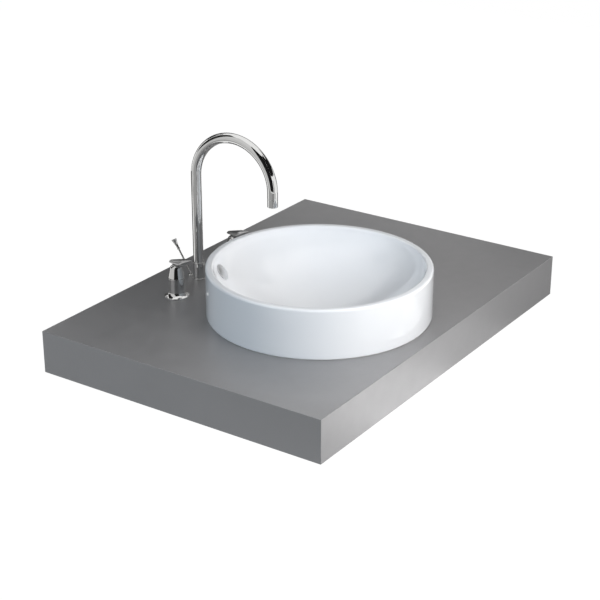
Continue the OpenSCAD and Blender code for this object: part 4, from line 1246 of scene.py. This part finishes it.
def emission(name, color, strength):
    made = bpy.data.materials.new(name)
    made.use_nodes = True
    tree = made.node_tree
    tree.nodes.clear()
    light = tree.nodes.new("ShaderNodeEmission")
    light.inputs["Color"].default_value = (*color, 1)
    light.inputs["Strength"].default_value = strength
    output = tree.nodes.new("ShaderNodeOutputMaterial")
    tree.links.new(light.outputs["Emission"], output.inputs["Surface"])
    return made


def plain_rays(tree):
    """1 for a ray that sees the background straight, by reflection or through glass."""
    path = tree.nodes.new("ShaderNodeLightPath")
    total = path.outputs["Is Camera Ray"]
    for name in ("Is Glossy Ray", "Is Transmission Ray"):
        either = tree.nodes.new("ShaderNodeMath")
        either.operation = "MAXIMUM"
        tree.links.new(total, either.inputs[0])
        tree.links.new(path.outputs[name], either.inputs[1])
        total = either.outputs[0]
    return total


def world_light():
    world = bpy.data.worlds.new("studio")
    bpy.context.scene.world = world
    world.use_nodes = True
    tree = world.node_tree
    background = tree.nodes["Background"]
    background.inputs["Color"].default_value = (1, 1, 1, 1)
    strength = tree.nodes.new("ShaderNodeMapRange")
    strength.inputs["To Min"].default_value = WORLD_LIGHT
    strength.inputs["To Max"].default_value = 1.0
    tree.links.new(plain_rays(tree), strength.inputs["Value"])
    tree.links.new(strength.outputs["Result"], background.inputs["Strength"])


def floor_piece():
    """A pale floor that looks white and keeps part of the object's shadow."""
    mesh = bmesh.new()
    bmesh.ops.create_grid(mesh, x_segments=1, y_segments=1, size=FLOOR_HALF)
    floor = add_object("floor", mesh, Matrix.Translation((0, 0, FLOOR_Z)))
    material = bpy.data.materials.new("floor")
    material.use_nodes = True
    tree = material.node_tree
    shader = tree.nodes["Principled BSDF"]
    shader.inputs["Base Color"].default_value = (0.85, 0.85, 0.85, 1)
    shader.inputs["Roughness"].default_value = 0.9
    light = tree.nodes.new("ShaderNodeEmission")
    light.inputs["Strength"].default_value = FLOOR_GLOW
    mix = tree.nodes.new("ShaderNodeMixShader")
    share = tree.nodes.new("ShaderNodeMath")
    share.operation = "MULTIPLY"
    share.inputs[1].default_value = 0.9
    tree.links.new(plain_rays(tree), share.inputs[0])
    tree.links.new(share.outputs[0], mix.inputs["Fac"])
    tree.links.new(shader.outputs["BSDF"], mix.inputs[1])
    tree.links.new(light.outputs["Emission"], mix.inputs[2])
    tree.links.new(mix.outputs["Shader"], tree.nodes["Material Output"].inputs["Surface"])
    floor.data.materials.append(material)


def for_reflections(panel, tone):
    """Gives a panel its glow and hides it from all but reflections: it sheds no light or shadow."""
    panel.data.materials.append(emission(panel.name, (1, 1, 1), tone))
    panel.visible_camera = False
    panel.visible_diffuse = False
    panel.visible_transmission = False
    panel.visible_volume_scatter = False
    panel.visible_shadow = False


def card(name, place, distance):
    """A curved panel, part of a sphere round the origin."""
    azimuth_from, azimuth_to, elevation_from, elevation_to, tone = place
    mesh = bmesh.new()
    rows = []
    for i in range(9):
        elevation = radians(elevation_from + (elevation_to - elevation_from) * i / 8)
        row = []
        for k in range(13):
            azimuth = radians(azimuth_from + (azimuth_to - azimuth_from) * k / 12)
            level = Vector((cos(azimuth), sin(azimuth), 0)) * cos(elevation)
            row.append(mesh.verts.new((level + Vector((0, 0, sin(elevation)))) * distance))
        rows.append(row)
    for lower, upper in zip(rows, rows[1:]):
        for k in range(12):
            mesh.faces.new([lower[k], lower[k + 1], upper[k + 1], upper[k]])
    for_reflections(add_object(name, mesh), tone)


def cards():
    for i, (name, place) in enumerate(CARDS.items()):
        card("card_" + name, place, CARD_DISTANCE - 0.004 * i)
    for name, (place, size, tilt, tone) in FLAT_PANELS.items():
        mesh = bmesh.new()
        bmesh.ops.create_grid(mesh, x_segments=1, y_segments=1, size=0.5)
        turn = Matrix.Rotation(radians(tilt), 4, "X")
        matrix = Matrix.Translation(place) @ turn @ Matrix.Diagonal((size[0], size[1], 1, 1))
        for_reflections(add_object("panel_" + name, mesh, matrix), tone)


def lamp(name, place, aim, size, power, color=(1, 1, 1)):
    data = bpy.data.lights.new(name, "AREA")
    data.shape = "RECTANGLE"
    data.size, data.size_y = size
    data.energy = power
    data.color = color
    made = bpy.data.objects.new(name, data)
    bpy.context.scene.collection.objects.link(made)
    made.location = place
    made.rotation_mode = "QUATERNION"
    made.rotation_quaternion = (Vector(aim) - Vector(place)).to_track_quat("-Z", "Y")
    made.visible_camera = False
    made.visible_glossy = False


def lamps():
    lamp("key", (-0.25, -1.1, 0.6), (-0.1, -0.25, 0.05), (0.5, 0.5), 10.6)
    lamp("front_right", (0.9, -1.4, 0.7), (0.1, 0, 0.1), (0.8, 0.8), 1)
    lamp("overhead", (0, 0, 1.9), (0, 0, 0), (1.2, 1.2), 8.5)
    lamp("left", (-2.2, 0.2, 0.9), (0, 0, 0.1), (1.2, 1.2), 17, (0.72, 0.87, 1.0))
    lamp("right", (1.8, -0.2, 0.8), (0.2, 0, 0.1), (1.0, 1.0), 4.5)


def camera():
    azimuth = radians(CAMERA_AZIMUTH)
    elevation = radians(CAMERA_ELEVATION)
    back = Vector((sin(azimuth) * cos(elevation), -cos(azimuth) * cos(elevation), sin(elevation)))
    data = bpy.data.cameras.new("camera")
    data.lens = FOCAL_LENGTH
    data.sensor_width = SENSOR_WIDTH
    made = bpy.data.objects.new("camera", data)
    bpy.context.scene.collection.objects.link(made)
    made.location = CAMERA_AIM + back * CAMERA_DISTANCE
    made.rotation_mode = "QUATERNION"
    made.rotation_quaternion = (-back).to_track_quat("-Z", "Y")
    bpy.context.scene.camera = made


world_light()
floor_piece()
cards()
lamps()
camera()
bpy.context.scene.view_settings.view_transform = "Standard"
